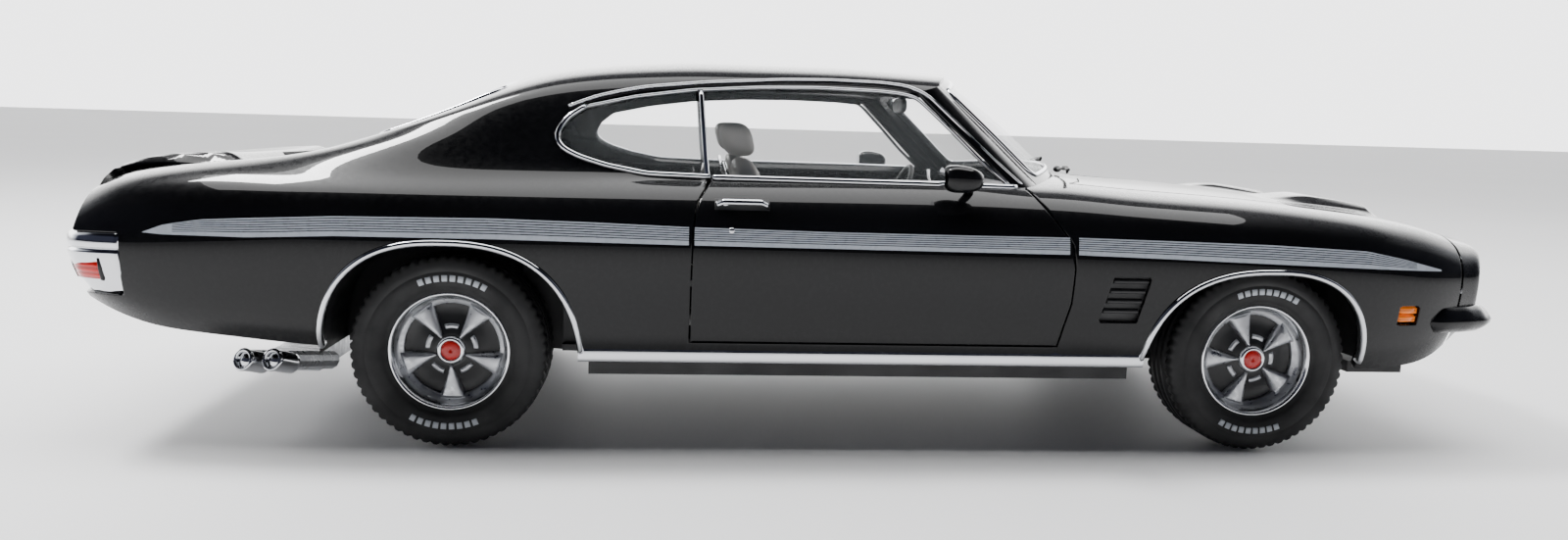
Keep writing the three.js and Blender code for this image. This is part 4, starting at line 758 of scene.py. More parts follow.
def smooth(a, b, x):
    t = np.clip((x - a) / (b - a), 0, 1)
    return t * t * (3 - 2 * t)


def half_offset(points, amount):
    """Insets a plan outline whose two ends lie on the centre line."""
    p = np.asarray(points, float)
    full = np.vstack([p, (p * (1, -1))[-2:0:-1]])
    out = offset(full, amount)[:len(p)]
    out[[0, -1], 1] = 0
    return out


def scoop_rise(x, y):
    rise = smooth(95.5, 108, x) * (1 - smooth(120.2, 121.3, x))
    return 1.75 * rise * smooth(14.2, 17.6, np.abs(y)) * (1 - smooth(25.8, 29.2, np.abs(y)))


def lid_rise(x, y):
    lip = smooth(-113.5, -119.5, x) * (1 - 0.12 * smooth(-126, -140, x))
    return 2.5 * lip * (1 - smooth(27.4, 30.4, np.abs(y)))


bonnet_edge = half_offset(dense(BONNET, 0.8), -0.32)
bonnet_at = surface_point("front", scoop_rise)
bonnet = both_halves(*paneled("front", by_offset("front", bonnet_edge), [], 0.85, 1.6, at=bonnet_at))
piece("bonnet_skin", *bonnet[:2], PAINT, "bonnet_leaf", "body_paint", normals=bonnet[2], replaces=("bonnet",))
for name, side in SIDES:
    y = np.linspace(16.6, 27.2, 24)
    base = by_offset("front", np.stack([np.full(24, 121.0), y], 1))
    p = AT["front"](base[:, 0], base[:, 1] / ACROSS)
    high = 1.32 * np.clip(1 - ((y - 21.9) / 5.3) ** 2, 0, 1) ** 0.35
    rows = [np.stack([p[:, 0] - 0.15 - 0.2 * k, p[:, 1] * side, p[:, 2] + 0.12 + high * k],
        1) for k in np.linspace(0, 1, 6)]
    piece(f"{name}_scoop_mouth", np.concatenate(rows), grid_faces(6, 24), PLASTIC, "bonnet_leaf",
        "black_plastic")

lid_full = [*BOOT_LID[:-1], (-139.4, 28.6), (-139.7, 20), (-139.7, 0)]
lid_at = surface_point("cabin", lid_rise)
lid = both_halves(*paneled("cabin", by_offset("cabin", half_offset(dense(lid_full, 0.8), -0.32)), [],
    0.95, 3.4, at=lid_at))
piece("boot_lid_skin", *lid[:2], PAINT, "boot_leaf", "body_paint", normals=lid[2], replaces=("boot_lid",))

door_shape = offset(dense(DOOR, 0.8, closed=True), -0.34)
door = paneled("door", by_height("door", door_shape), [], 1.2, 2.0)


def sunk(kind, depth):
    """The surface moved inwards by depth."""
    base = AT[kind]

    def at(x, t):
        p, n = with_normals(base, x, np.clip(t, 0, TOP[kind]), TOP[kind])
        return p - n * depth
    return at


card_shape = offset(dense(DOOR, 0.9, closed=True), -1.6)
card = paneled("door", by_height("door", card_shape), [], 1.6, 1.2, at=sunk("door", 2.1))
for name, side in SIDES:
    leaf = f"{name}_door_leaf"
    for label, made, mat, slot, gone in (("door_skin", door, PAINT, "body_paint", (f"{name}_door",)),
                                         ("door_card", card, CARD, "black_plastic", ())):
        v, f, n = made
        if side < 0:
            v, f = flipped(v, f)
            n = n * (1, -1, 1)
        piece(f"{name}_{label}", v, f, mat, leaf, slot, normals=n, replaces=gone)


# ------------------------------------------------------------ nose
NOSE_PLAN = np.array([(110, 54), (121, 52.6), (128.6, 50), (131, 48.4), (133.2, 46.4), (134.6, 43.4),
    (135.4, 38), (136.2, 28),
                      (137, 14), (138.4, 8), (141.2, 4), (143.25, 0)])
NOSE_SIDE = np.array([(120, 16.9), (125, 17.2), (131, 19), (137, 22.5), (141.5, 27), (143.25, 32),
    (143.25, 36), (142.6, 39),
                      (140.2, 41.8), (136, 43.9), (128, 47), (120, 60)])


def soft_min(a, b, k=1.5):
    h = np.clip(0.5 + 0.5 * (b - a) / k, 0, 1)
    return b * (1 - h) + a * h - k * h * (1 - h)


def nose_front(y, z):
    plan = np.interp(np.abs(y), NOSE_PLAN[::-1, 1], NOSE_PLAN[::-1, 0])
    low = np.interp(z, NOSE_SIDE[:, 1], NOSE_SIDE[:, 0])
    return soft_min(plan, low)


def nose_dent(y, z):
    a = np.abs(y)
    grille = smooth(4.4, 5.0, a) * (1 - smooth(23.2, 23.8, a)) * smooth(31.2, 31.8, z) * (1 - smooth(38.4,
        39, z))
    lamps = [1 - smooth(3.9, 4.5, np.hypot(a - c, z - 35.3)) for c in (29.4, 39.2)]
    return 3.4 * np.maximum(grille, np.maximum(*lamps))


nt = np.linspace(0, TOP["front"], 150)
rings = []
for x in [128.32, *np.linspace(128.8, 144, 26)]:
    rings.append(AT["front"](np.full(150, x), nt))
last = rings[-1]
mid = np.array([144, 0, 35.2])
for k in np.linspace(0.985, 0.004, 78):
    ring = mid + (last - mid) * k
    rings.append(ring)
nose = np.stack(rings)
nose = np.concatenate([nose, (nose * (1, -1, 1))[:, -2::-1]], 1)
rows, cols = nose.shape[:2]
nx = soft_min(nose[..., 0], nose_front(nose[..., 1], nose[..., 2]), 1.1)
nose[..., 0] = nx - nose_dent(nose[..., 1], nose[..., 2])
piece("nose_skin", nose.reshape(-1, 3), [f[::-1] for f in grid_faces(rows, cols)], PAINT, "car_body",
    "body_paint",
                 replaces=("nose_panel",))


def plan_band(plan, profile, spacing=0.8, blend=None):
    """A band swept round one end of the car: plan is (x, y) for one side out to the centre, profile (z, inset)."""
    p = eased(resampled(plan, spacing), 3)
    full = np.vstack([p[:-1], (p * (1, -1))[::-1]])
    d = np.gradient(full, axis=0)
    n = np.stack([d[:, 1], -d[:, 0]], 1)
    n /= np.linalg.norm(n, axis=1)[:, None]
    if (n * (full - full.mean(0))).sum() < 0:
        n = -n
    rows = []
    for z, end_inset, side_inset in profile:
        w = np.abs(n[:, 0])[:, None] ** 1.5
        inset = end_inset * w + side_inset * (1 - w)
        rows.append(np.column_stack([full - n * inset, np.full(len(full), z)]))
    return np.stack(rows), full, n


def ring_piece(name, rows, mat, body, slot, replaces=(), closed=True):
    r, c = rows.shape[:2]
    faces = [tuple(f) for f in grid_faces(r, c, wrap_rows=closed)]
    faces += [tuple(k * c for k in range(r)), tuple(k * c + c - 1 for k in range(r))[::-1]]
    v = rows.reshape(-1, 3)
    obj = piece(name, v, faces, mat, body, slot, replaces=replaces)
    import_fix(obj)
    return obj


def import_fix(obj):
    """Turns every face of a closed shape outwards."""
    bm = bmesh.new()
    bm.from_mesh(obj.data)
    bmesh.ops.recalc_face_normals(bm, faces=bm.faces)
    bm.to_mesh(obj.data)
    bm.free()


BUMPER_PLAN = [(119.6, 47.6), (121.2, 49.6), (123.2, 50.3), (126, 49.9), (131, 48.6), (135.5, 46.8),
    (138.4, 44.2), (139.6, 40), (140.1, 34), (140.3, 28),
               (140.6, 14), (141.2, 8), (142.2, 4), (143.1, 0)]
front_profile = [(24.3, 4.6, 2.6), (24.7, 2.6, 1.0), (25.6, 0.9, 0.1), (26.4, 0.1, -0.3), (27.1, 0.0,
    -0.35), (28.0, 0.7, -0.1),
                 (28.9, 1.7, 0.2), (29.7, 3.0, 0.6), (30.1, 4.8, 1.6), (30.0, 6.4, 2.4), (25.4, 6.4, 2.4)]
band, _, _ = plan_band(BUMPER_PLAN, front_profile)
ring_piece("front_bumper_band", band, PAINT, "car_body", "body_paint", replaces=("front_bumper",))
seal, _, _ = plan_band(BUMPER_PLAN, [(30.0, 4.9, 1.4), (30.5, 4.9, 1.4), (30.5, 6.4, 2.6), (30.0, 6.4, 2.6)])
ring_piece("front_bumper_seal", seal, PLASTIC, "car_body", "black_plastic")

TAIL_PLAN = [(-128.8, 51.5), (-134, 50.4), (-138, 48.6), (-140.4, 46.1), (-141.7, 41.2), (-142.6, 30),
    (-143.1, 15), (-143.3, 0)]
rear_profile = [(28.4, 5.2, 2.6), (28.9, 4.1, 1.9), (30.2, 3.0, 1.4), (31.4, 2.0, 0.9), (33, 1.1, 0.45),
    (34.8, 0.35, 0.1),
                (36.1, 0.05, -0.05), (36.45, 0.1, 0.0), (36.6, 0.55, 0.45), (37.0, 0.55, 0.45), (37.15,
                    0.1, 0.0), (38, 0, -0.1),
                (39, 0.15, 0.1), (39.6, 0.5, 0.4), (40, 1.2, 1.0), (40, 2.8, 2.4), (36, 2.8, 2.6), (32,
                    4.2, 3.0), (28.6, 6.6, 4.2)]
band, _, _ = plan_band(TAIL_PLAN, rear_profile)
ring_piece("rear_bumper_band", band, CHROME, "car_body", "chrome_trim", replaces=("rear_bumper",))
for name, side in SIDES:
    rows, full, nrm = plan_band(TAIL_PLAN,
        [(z, 1.9 - 0.28 * (z - 31.4) - 0.12 - b, 0.92 - 0.18 * (z - 31.4) - 0.1 - b) for z, b in
                                            ((31.1, -0.5), (31.35, 0.1), (33.3, 0.25), (35.1, 0.1),
                                                (35.35, -0.5))])
    pick = (full[:, 1] * side > 0)
    side_part = rows[:, pick & (full[:, 0] > -140.2) & (full[:, 0] < -132.2)]
    rear_part = rows[:, pick & (np.abs(full[:, 1]) > 20) & (np.abs(full[:, 1]) < 40.2)]
    for label, r in (("tail_lamp_side", side_part), ("tail_lamp_rear", rear_part)):
        piece(f"{name}_{label}", r.reshape(-1, 3), grid_faces(*r.shape[:2]), RED, "car_body", "red_lens",
              replaces=(f"{name}_tail_lamp",))
        frame_rows = r.copy()
        frame_rows[..., :2] *= 0.9985
        edge = np.concatenate([frame_rows[0], frame_rows[1:-1, -1], frame_rows[-1, ::-1],
            frame_rows[-2:0:-1, 0]])
        v, f = sweep(edge, np.tile([-0.7, side * 0.7, 0], (len(edge), 1)), half_round(0.55, 0.4, 6),
            closed=True)
        piece(f"{name}_{label}_rim", v, f, SATIN, "car_body", "black_plastic")

# Headlamps and the marker lamp in its recess.
for name, side in SIDES:
    parts, bezels = [], []
    for y in (29.4, 39.2):
        front = float(nose_front(np.array(y), np.array(35.3)))
        r = np.linspace(0, 3.7, 12)
        a = np.linspace(0, 2 * math.pi, 40, endpoint=False)
        v = np.array([[front - 1.4 - 0.07 * q * q, side * (y + q * math.cos(b)),
            35.3 + q * math.sin(b)] for q in r[1:] for b in a])
        v = np.vstack([v, [[front - 1.4, side * y, 35.3]]])
        f = grid_faces(11, 40, wrap=True) + [(len(v) - 1, (k + 1) % 40, k) for k in range(40)]
        parts.append((v, f))
        q = [(3.6, front - 2.6), (3.7, front - 1.9), (4.0, front - 1.3), (4.35, front - 1.2), (4.4,
            front - 1.6), (4.4, front - 3)]
        v = np.array([[x, side * (y + rr * math.cos(b)), 35.3 + rr * math.sin(b)] for rr, x in q for b in a])
        bezels.append((v, grid_faces(len(q), 40, wrap=True, wrap_rows=True)))
    v, f = joined(parts)
    piece(f"{name}_headlamp_lenses", v, f, LAMP, "car_body", "lamp_glass", replaces=(f"{name}_headlamps",))
    v, f = joined(bezels)
    import_fix(piece(f"{name}_headlamp_rims", v, f, CHROME, "car_body", "chrome_trim"))


def surface_patch(kind, side, xs, zs, out):
    """A small patch that follows the body side; out(i, j) gives each point's height off the surface."""
    gx, gz = np.meshgrid(xs, zs)
    p, n = side_at(kind, gx.ravel(), gz.ravel())
    h = np.array([[out(i, j) for j in range(len(xs))] for i in range(len(zs))]).ravel()
    p = p + n * h[:, None]
    p[:, 1] *= side
    f = grid_faces(len(zs), len(xs))
    return p, [tuple(q[::-1]) for q in f] if side > 0 else f


def pillow(rows, cols, low, high):
    def at(i, j):
        edge = i in (0, rows - 1) or j in (0, cols - 1)
        return low if edge else high
    return at


for name, side in SIDES:
    v, f = joined([surface_patch("front", side, np.linspace(112.6, 118.1, 6), np.linspace(26.1, 30.8, 5),
        lambda i, j: -1.5)])
    piece(f"{name}_marker_recess", v, f, PLASTIC, "car_body", "black_plastic")
    bars = [surface_patch("front", side, [113.4, 113.7, 115.3, 117.1, 117.4], [z, z + 0.25, z + 0.75,
        z + 1.25, z + 1.5],
                          pillow(5, 5, -1.3, -0.15)) for z in (26.9, 28.6)]
    v, f = joined(bars)
    piece(f"{name}_marker_bars", v, f, AMBER, "car_body", "amber_lens", replaces=(f"{name}_marker_lamp",))
    v, f = surface_patch("front", side, np.linspace(51, 61.6, 8), np.linspace(26, 36, 8), lambda i, j: -1.1)
    piece(f"{name}_vent_recess", v, f, PLASTIC, "car_body", "black_plastic")
    slats = []
    for z in np.linspace(28, 34, 4):
        lean = (z - 26.5) * 0.25
        slats.append(surface_patch("front", side, np.linspace(52.0 + lean, 58.8 + lean, 8), [z, z + 0.3,
            z + 0.9, z + 1.1],
                                   lambda i, j: (-1.1, -0.45, -0.6, -1.1)[i]))
    v, f = joined(slats)
    piece(f"{name}_vent_slats", v, f, SATIN, "car_body", "black_plastic")

# ------------------------------------------------------------ screen, pillars and glass
def screen_at(u, v):
    """u is 40 mm for each side, v runs 0 to 28 up the screen."""
    s, k = u / 40, (v / 28)[:, None]
    p = screen_base(s) * (1 - k) + screen_top(s) * k
    up = screen_top(s) - screen_base(s)
    across = np.stack([-26 * s, np.full_like(s, 40.0), -3.2 * s], -1)
    n = np.cross(across, up)
    n /= np.linalg.norm(n, axis=1)[:, None]
    n = np.where(n[:, :1] < 0, -n, n)
    bulge = 4 * k * (1 - k) * 0.9 * (1 - np.abs(s[:, None]) ** 4)
    return p + n * bulge, n


def flat_skin(at, outer, holes, step, thick):
    pattern, tris = cut_pattern(tidy_loop(outer), [tidy_loop(h) for h in holes], step)
    p, n = at(pattern[:, 0], pattern[:, 1])
    a = p[tris]
    face_n = np.cross(a[:, 1] - a[:, 0], a[:, 2] - a[:, 0])
    if (face_n * n[tris[:, 0]]).sum() < 0:
        tris = tris[:, ::-1]
    count = len(p)
    faces = [tuple(t) for t in tris] + [tuple(t[::-1] + count) for t in tris]
    pairs = {}
    for tri in tris:
        for q, r in ((tri[0], tri[1]), (tri[1], tri[2]), (tri[2], tri[0])):
            key = (min(q, r), max(q, r))
            pairs[key] = None if key in pairs else (q, r)
    faces += [(e[1], e[0], e[0] + count, e[1] + count) for e in pairs.values() if e]
    obj_v = np.concatenate([p, p - n * thick])
    return obj_v, faces, np.concatenate([n, -n])


def rounded_box(x0, y0, x1, y1, x2, r, count=6):
    """A four-sided outline, half widths x0 at y0 and x1 at y1, with rounded corners."""
    out = []
    for cx, cy, a0 in ((x1 - r, y1 - r, 0), (-x1 + r, y1 - r, 90), (-x0 + r, y0 + r, 180), (x0 - r,
        y0 + r, 270)):
        out += [(cx + r * math.cos(math.radians(a0 + 90 * k / count)),
            cy + r * math.sin(math.radians(a0 + 90 * k / count)))
                for k in range(count + 1)]
    return dense(out, 0.9, closed=True)


screen_hole = rounded_box(37.6, 2.2, 37.6, 26.2, 0, 2.2)
screen_outer = dense([(-40, 0.0), (40, 0.0), (40, 28.0), (-40, 28.0)], 0.9, closed=True)
v, f, n = flat_skin(screen_at, screen_outer, [screen_hole], 1.3, 1.6)
piece("screen_frame", v, f, PAINT, "car_body", "body_paint")
v, f, n = flat_skin(lambda a, b: (screen_at(a, b)[0] - screen_at(a, b)[1] * 0.5, screen_at(a, b)[1]),
    screen_hole, [], 1.6, 0.8)
piece("windscreen_pane", v, f, GLASS, "car_body", "clear_glazing", normals=n, replaces=("windscreen",))


def edge_trim(name, at, loop, width, height, mat=CHROME, body="car_body", slot="chrome_trim", closed=True):
    p, n = at(loop[:, 0], loop[:, 1])
    v, f = sweep(p, n, half_round(width, height), closed=closed)
    obj = piece(name, v, f, mat, body, slot)
    import_fix(obj)
    return obj


edge_trim("screen_surround", screen_at, screen_hole, 1.0, 0.45)


def rear_glass_at(x, q):
    t = np.clip(q / ACROSS, 0, TOP["cabin"])
    p, n = with_normals(AT["cabin"], x, t, TOP["cabin"])
    return p, n


half_loop = np.concatenate([window_low, window_side[1:], window_high[1:]])
pattern, tris = cut_pattern(tidy_loop(half_loop), [], 1.4)
v, f, n = skin(lambda x, t: sunk("cabin", 0.7)(x, t), TOP["cabin"], pattern, tris, 0.8)
v, f, n = both_halves(v, f, n)
piece("rear_window_pane", v, f, GLASS, "car_body", "clear_glazing", normals=n, replaces=("rear_window",))
p, n = rear_glass_at(half_loop[:, 0], half_loop[:, 1])
loop_p = np.concatenate([p, (p * (1, -1, 1))[-2:0:-1]])
loop_n = np.concatenate([n, (n * (1, -1, 1))[-2:0:-1]])
v, f = sweep(loop_p, loop_n, half_round(1.1, 0.45), closed=True)
import_fix(piece("rear_window_surround", v, f, CHROME, "car_body", "chrome_trim"))

for name, side in SIDES:
    k = np.linspace(0, 1, 26)
    f_edge = screen_at(np.full(26, 40.0), k * 28)[0]
    rx, rz = 35.6 + (17.0 - 35.6) * k, 51.4 + (69.2 - 51.4) * k
    ry = np.interp(rz, [51.4, 60, 69.2], [44.9, 42.1, 38.0])
    r_edge = np.stack([rx, ry, rz], 1)
    cols = []
    for w in np.linspace(0, 1, 7):
        c = f_edge * (1 - w) + r_edge * w
        c[:, 1] += 1.0 * math.sin(math.pi * w)
        c[:, 0] += 0.5 * math.sin(math.pi * w)
        cols.append(c)
    inner = r_edge + (0.4, -1.8, 0)
    cols += [inner, f_edge * 0.5 + inner * 0.5 - (0, 0.6, 0), f_edge + (-0.5, -1.4, -0.4)]
    strip = np.stack(cols, 1)
    strip[..., 1] *= side
    v = strip.reshape(-1, 3)
    obj = piece(f"{name}_screen_pillar", v, grid_faces(26, len(cols), wrap=True), PAINT, "car_body",
        "body_paint")
    import_fix(obj)


def pane_at(side):
    def at(x, z):
        y = 44.0 - (z - 52) * 0.3875 + 0.6 * (1 - ((z - 60) / 10) ** 2)
        n = np.tile([0, 0.93, 0.36], (len(x), 1))
        return np.stack([x, y * side, z], -1), n * (1, side, 1)
    return at


for name, side in SIDES:
    for label, shape, body in (("door_glass", DOOR_GLASS, f"{name}_door_leaf"), ("quarter_glass",
        QUARTER_GLASS, "car_body")):
        v, f, n = flat_skin(pane_at(side), dense(shape, 1.2, closed=True), [], 2.0, 0.8)
        piece(f"{name}_{label}_pane", v, f, GLASS, body, "clear_glazing", normals=n,
            replaces=(f"{name}_{label}",))


# ------------------------------------------------------------ bright trim on the side
def side_path(kind, points, spacing=1.0, passes=2, out=0.0):
    q = eased(resampled(points, spacing), passes)
    return side_at(kind, q[:, 0], q[:, 1], out)


def side_trim(name, kind, points, width, height, mat, body, slot, side, spacing=1.0, passes=2, out=0.0,
    replaces=(), sink=0.3):
    p, n = side_path(kind, points, spacing, passes, out)
    v, f = sweep(p * (1, side, 1), n * (1, side, 1), half_round(width, height, sink=sink))
    obj = piece(name, v, f, mat, body, slot, replaces=replaces)
    import_fix(obj)
    return obj


def free_trim(name, points, direction, width, height, mat, body, slot, side, spacing=1.0, passes=2,
    replaces=(), closed=False):
    p = eased(resampled(np.array(points, float), spacing, closed), passes, closed)
    n = np.tile(np.array(direction, float), (len(p), 1))
    v, f = sweep(p * (1, side, 1), n * (1, side, 1), half_round(width, height), closed=closed)
    obj = piece(name, v, f, mat, body, slot, replaces=replaces)
    import_fix(obj)
    return obj


def roof_side(points, lift=0.0):
    """Side-view points along the roof edge, put on the cabin surface."""
    p, n = side_at("cabin", [q[0] for q in points], [q[1] for q in points], lift)
    return p


DRIP_TOP = [(-50.6, 64.6), (-46, 66.5), (-41, 67.8), (-35.9, 68.8), (-24.5, 70.0), (-9.1, 71.0), (0.6,
    71.2), (10.3, 71.0), (15.4, 70.5)]
DRIP_LOW = [(-47.4, 64.8), (-38, 67.0), (-27, 68.6), (-14, 69.5), (-2, 69.8), (10, 69.5), (14.6, 69.1)]
for name, side in SIDES:
    top = list(roof_side(DRIP_TOP, 0.15))
    top += [np.array(q) for q in ((19.2, 38.1, 69.0), (25.5, 40.1, 63.0), (31.5, 42.0, 57.2), (37.6, 43.4,
        51.9))]
    free_trim(f"{name}_drip_rail", top, (0.1, 0.9, 0.35), 0.8, 0.75, CHROME, "car_body", "chrome_trim", side,
              replaces=(f"{name}_window_moulding",))
    low = list(roof_side(DRIP_LOW, 0.0))
    low += [np.array(q) for q in ((17.3, 38.2, 68.4), (23.4, 40.6, 62.6), (29.4, 42.7, 56.6), (34.9, 44.6,
        51.9))]
    free_trim(f"{name}_window_top_trim", low, (0, 0.93, 0.3), 0.7, 0.45, CHROME, "car_body",
        "chrome_trim", side)
    rear = [(-23.4, 52.2), (-35.5, 52.5), (-42.8, 53.8), (-48.3, 55.4), (-51.8, 57.1), (-52.8, 59.4),
        (-50.9, 62.6), (-47.4, 64.9)]
    side_trim(f"{name}_quarter_trim", "cabin", rear, 1.1, 0.6, CHROME, "car_body", "chrome_trim", side)
    side_trim(f"{name}_belt_trim", "door", [(36.2, 51.6), (20, 51.9), (0, 52.0), (-23.0, 52.1)], 1.3, 0.6,
        CHROME,
              f"{name}_door_leaf", "chrome_trim", side, replaces=(f"{name}_belt_moulding",))
    bar = [(-25.4, 39.1 + 0.5, 68.3), (-24.9, 42.2, 62), (-24.4, 43.9, 56), (-23.9, 45.0, 51.6)]
    free_trim(f"{name}_division_bar", bar, (0, 0.93, 0.36), 1.0, 0.5, CHROME, "car_body", "chrome_trim", side)
    for end, spec in (("rear", REAR_ARCH), ("front", FRONT_ARCH)):
        pts = arch(*spec, grow=0.35, count=90)
        kind = "cabin" if end == "rear" else "front"
        low_z = 18.6 if end == "rear" else 18.2
        pts = pts[pts[:, 1] > low_z]
        side_trim(f"{name}_{end}_arch_trim", kind, pts, 1.25, 0.7, CHROME, "car_body", "chrome_trim",
            side, spacing=0.8,
                  replaces=(f"{name}_{end}_arch_moulding",), sink=0.8)
    p_low, n_low = side_at("cabin", np.linspace(-47.6, 61.8, 90), np.full(90, 19.0))
    out = p_low + (0, -0.1, 0)
    rows = [(-1.85, -0.6), (-1.8, 0.25), (-1.6, 0.52), (-0.6, 0.6), (0.6, 0.5), (1.5, 0.32), (1.68, 0.1),
        (1.7, -0.6)]
    v = np.concatenate([out + np.array([0, o, z]) for z, o in rows]) * (1, side, 1)
    obj = piece(f"{name}_sill_trim", v, grid_faces(len(rows), 90, wrap_rows=True), CHROME, "car_body",
        "chrome_trim",
                replaces=(f"{name}_sill_moulding",))
    import_fix(obj)


# ------------------------------------------------------------ printed stripe
STRIPE_TOP = [(-124.35, 40.2), (-120.65, 41.6), (-114.05, 42.7), (-105.65, 43.2), (-90.45, 43.9), (-63.05,
    44.1), (-45.55, 43.8),
              (-27.85, 43.3), (-0.65, 42.9), (27.15, 42.8), (45.95, 42.8), (65.15, 42.5), (84.75, 42.1),
                  (104.55, 41.2),
              (112.75, 39.7), (121.95, 37.6)]
STRIPE_LOW = [(-124.35, 40.15), (-120.75, 39.9), (-105.75, 39.8), (-90.55, 40.4), (-63.05, 40.4), (-27.75,
    40.0), (8.65, 39.8),
              (45.25, 39.6), (65.45, 39.1), (85.05, 38.5), (104.95, 37.9), (121.95, 37.3)]


def stripe_piece(name, kind, x0, x1, body, side):
    n = int((x1 - x0) / 1.2) + 2
    xs = np.linspace(x0, x1, n)
    hi = np.interp(xs, *np.array(STRIPE_TOP).T)
    lo = np.interp(xs, *np.array(STRIPE_LOW).T)
    rows, uvs = [], []
    for v in np.linspace(0, 1, 7):
        p, nn = side_at(kind, xs, lo * (1 - v) + hi * v, 0.05)
        rows.append(p * (1, side, 1))
        uvs.append(np.stack([(xs + 124.35) / 246.3, np.full(n, v)], 1))
    f = grid_faces(7, n)
    piece(name, np.concatenate(rows), [q[::-1] for q in f] if side > 0 else f, STRIPE, body,
        "chrome_trim", uvs=np.concatenate(uvs))


for name, side in SIDES:
    stripe_piece(f"{name}_stripe_rear", "cabin", -124.35, -27.25, "car_body", side)
    stripe_piece(f"{name}_stripe_door", "door", -26.2, 44.6, f"{name}_door_leaf", side)
    stripe_piece(f"{name}_stripe_front", "front", 46.35, 121.95, "car_body", side)


# ------------------------------------------------------------ small fittings
def blob(center, half, power=2.6, rows=20, cols=32, shape=None):
    """A rounded solid: power 2 is an ellipsoid, more is squarer."""
    def soft(c):
        return np.sign(c) * np.abs(c) ** (2 / power)
    a = np.linspace(-math.pi / 2, math.pi / 2, rows)
    b = np.linspace(0, 2 * math.pi, cols, endpoint=False)
    u, w = np.meshgrid(a, b, indexing="ij")
    p = np.stack([soft(np.cos(u)) * soft(np.cos(w)), soft(np.cos(u)) * soft(np.sin(w)), soft(np.sin(u))],
        -1).reshape(-1, 3)
    if shape is not None:
        p = shape(p)
    return p * half + center, grid_faces(rows, cols, wrap=True)


def tube(points, radius, sides=12, spacing=0.6, passes=2, closed=False, flat=1.0):
    p = eased(resampled(np.array(points, float), spacing, closed), passes, closed)
    ref = np.array([0.11, 0.31, 0.94])
    a = np.linspace(0, 2 * math.pi, sides, endpoint=False)
    prof = [(radius * math.cos(x), radius * flat * math.sin(x)) for x in a]
    return sweep(p, np.tile(ref, (len(p), 1)), prof, closed=closed)


def fitting(name, parts, mat, body, slot, replaces=(), side=1):
    v, f = joined(parts)
    obj = piece(name, v * (1, side, 1), f, mat, body, slot, replaces=replaces)
    import_fix(obj)
    return obj


for name, side in SIDES:
    leaf = f"{name}_door_leaf"
    p, n = side_at("door", np.linspace(-22.2, -12.7, 30), np.full(30, 47.5), 0.95)
    lift = np.concatenate([np.linspace(-1.0, 0, 5), np.zeros(20), np.linspace(0, -1.0, 5)])
    p = p + n * lift[:, None]
    v, f = sweep(p, n, [(0.62 * math.cos(a), 0.4 * math.sin(a)) for a in np.linspace(0, 2 * math.pi, 12,
        endpoint=False)])
    q, m = side_at("door", np.array([-20.6]), np.array([47.5]), 0.55)
    button = blob(q[0], (0.75, 0.5, 0.75), 2, 10, 18)
    fitting(f"{name}_door_pull", [(v, f), button], CHROME, leaf, "chrome_trim", (f"{name}_door_handle",),
        side)
    v, f = surface_patch("door", side, np.linspace(-22.6, -12.4, 12), np.linspace(46.5, 48.5, 5),
        pillow(5, 12, 0.0, 0.06))
    piece(f"{name}_door_pull_pan", v, f, SATIN, leaf, "black_plastic")
    q, m = side_at("door", np.array([-19.4]), np.array([42.8]), 0.1)
    fitting(f"{name}_door_lock", [blob(q[0], (0.62, 0.42, 0.62), 2, 10, 18)], CHROME, leaf, "chrome_trim",
        (), side)

    def nosecone(p):
        p = p.copy()
        k = 0.5 + 0.5 * p[:, 0]
        p[:, 1:] *= (1 - 0.28 * k**2)[:, None]
        p[:, 2] -= 0.1 * k
        return p
    shell = blob((23.6, 52.9, 53.4), (3.9, 3.2, 2.7), 3.0, 22, 36, nosecone)
    foot = tube([(26.8, 46.0, 49.6), (26.2, 48.0, 50.4), (25.0, 50.2, 51.9)], 0.85, 12, 0.5)
    plate = blob((27.2, 45.9, 49.7), (2.1, 0.8, 1.0), 2.4, 12, 20)
    fitting(f"{name}_mirror_shell", [shell, foot, plate], PAINT, leaf, "black_plastic", (f"{name}_mirror",
        ), side)
    a = np.linspace(0, 2 * math.pi, 36, endpoint=False)
    rim = np.array([[19.62, 52.9 + 2.5 * math.cos(b), 53.4 + 2.0 * math.sin(b)] for b in a])
    v = np.vstack([rim, [[19.5, 52.9, 53.4]]]) * (1, side, 1)
    piece(f"{name}_mirror_glass", v,
        [(36, (k + 1) % 36, k) if side < 0 else (36, k, (k + 1) % 36) for k in range(36)], CHROME, leaf,
            "chrome_trim")

wiper_parts, blade_parts = [], []
for pivot, tip in (((56.3, -9, 54.2), (49.9, -34, 54.6)), ((55.2, 17.5, 54.2), (52.9, -6, 56.2))):
    pv, tp = np.array(pivot, float), np.array(tip, float)
    mid_p = (pv + tp) / 2 + (0.9, 0, 0.5)
    wiper_parts.append(tube([pv, mid_p, tp + (0.4, 0, 0.35)], 0.32, 8))
    wiper_parts.append(blob(pv, (0.9, 0.9, 0.7), 2.2, 10, 16))
    along = (tp - pv) / np.linalg.norm(tp - pv)
    blade_parts.append(tube([mid_p - along * 4 - (0.3, 0, 0.1), mid_p + along * 4, tp + along * 1.5], 0.3,
        8, flat=1.6))
fitting("wiper_arms", wiper_parts, SATIN, "car_body", "black_plastic", ("wipers",))
fitting("wiper_blades", blade_parts, RUBBER, "car_body", "tyre_rubber")

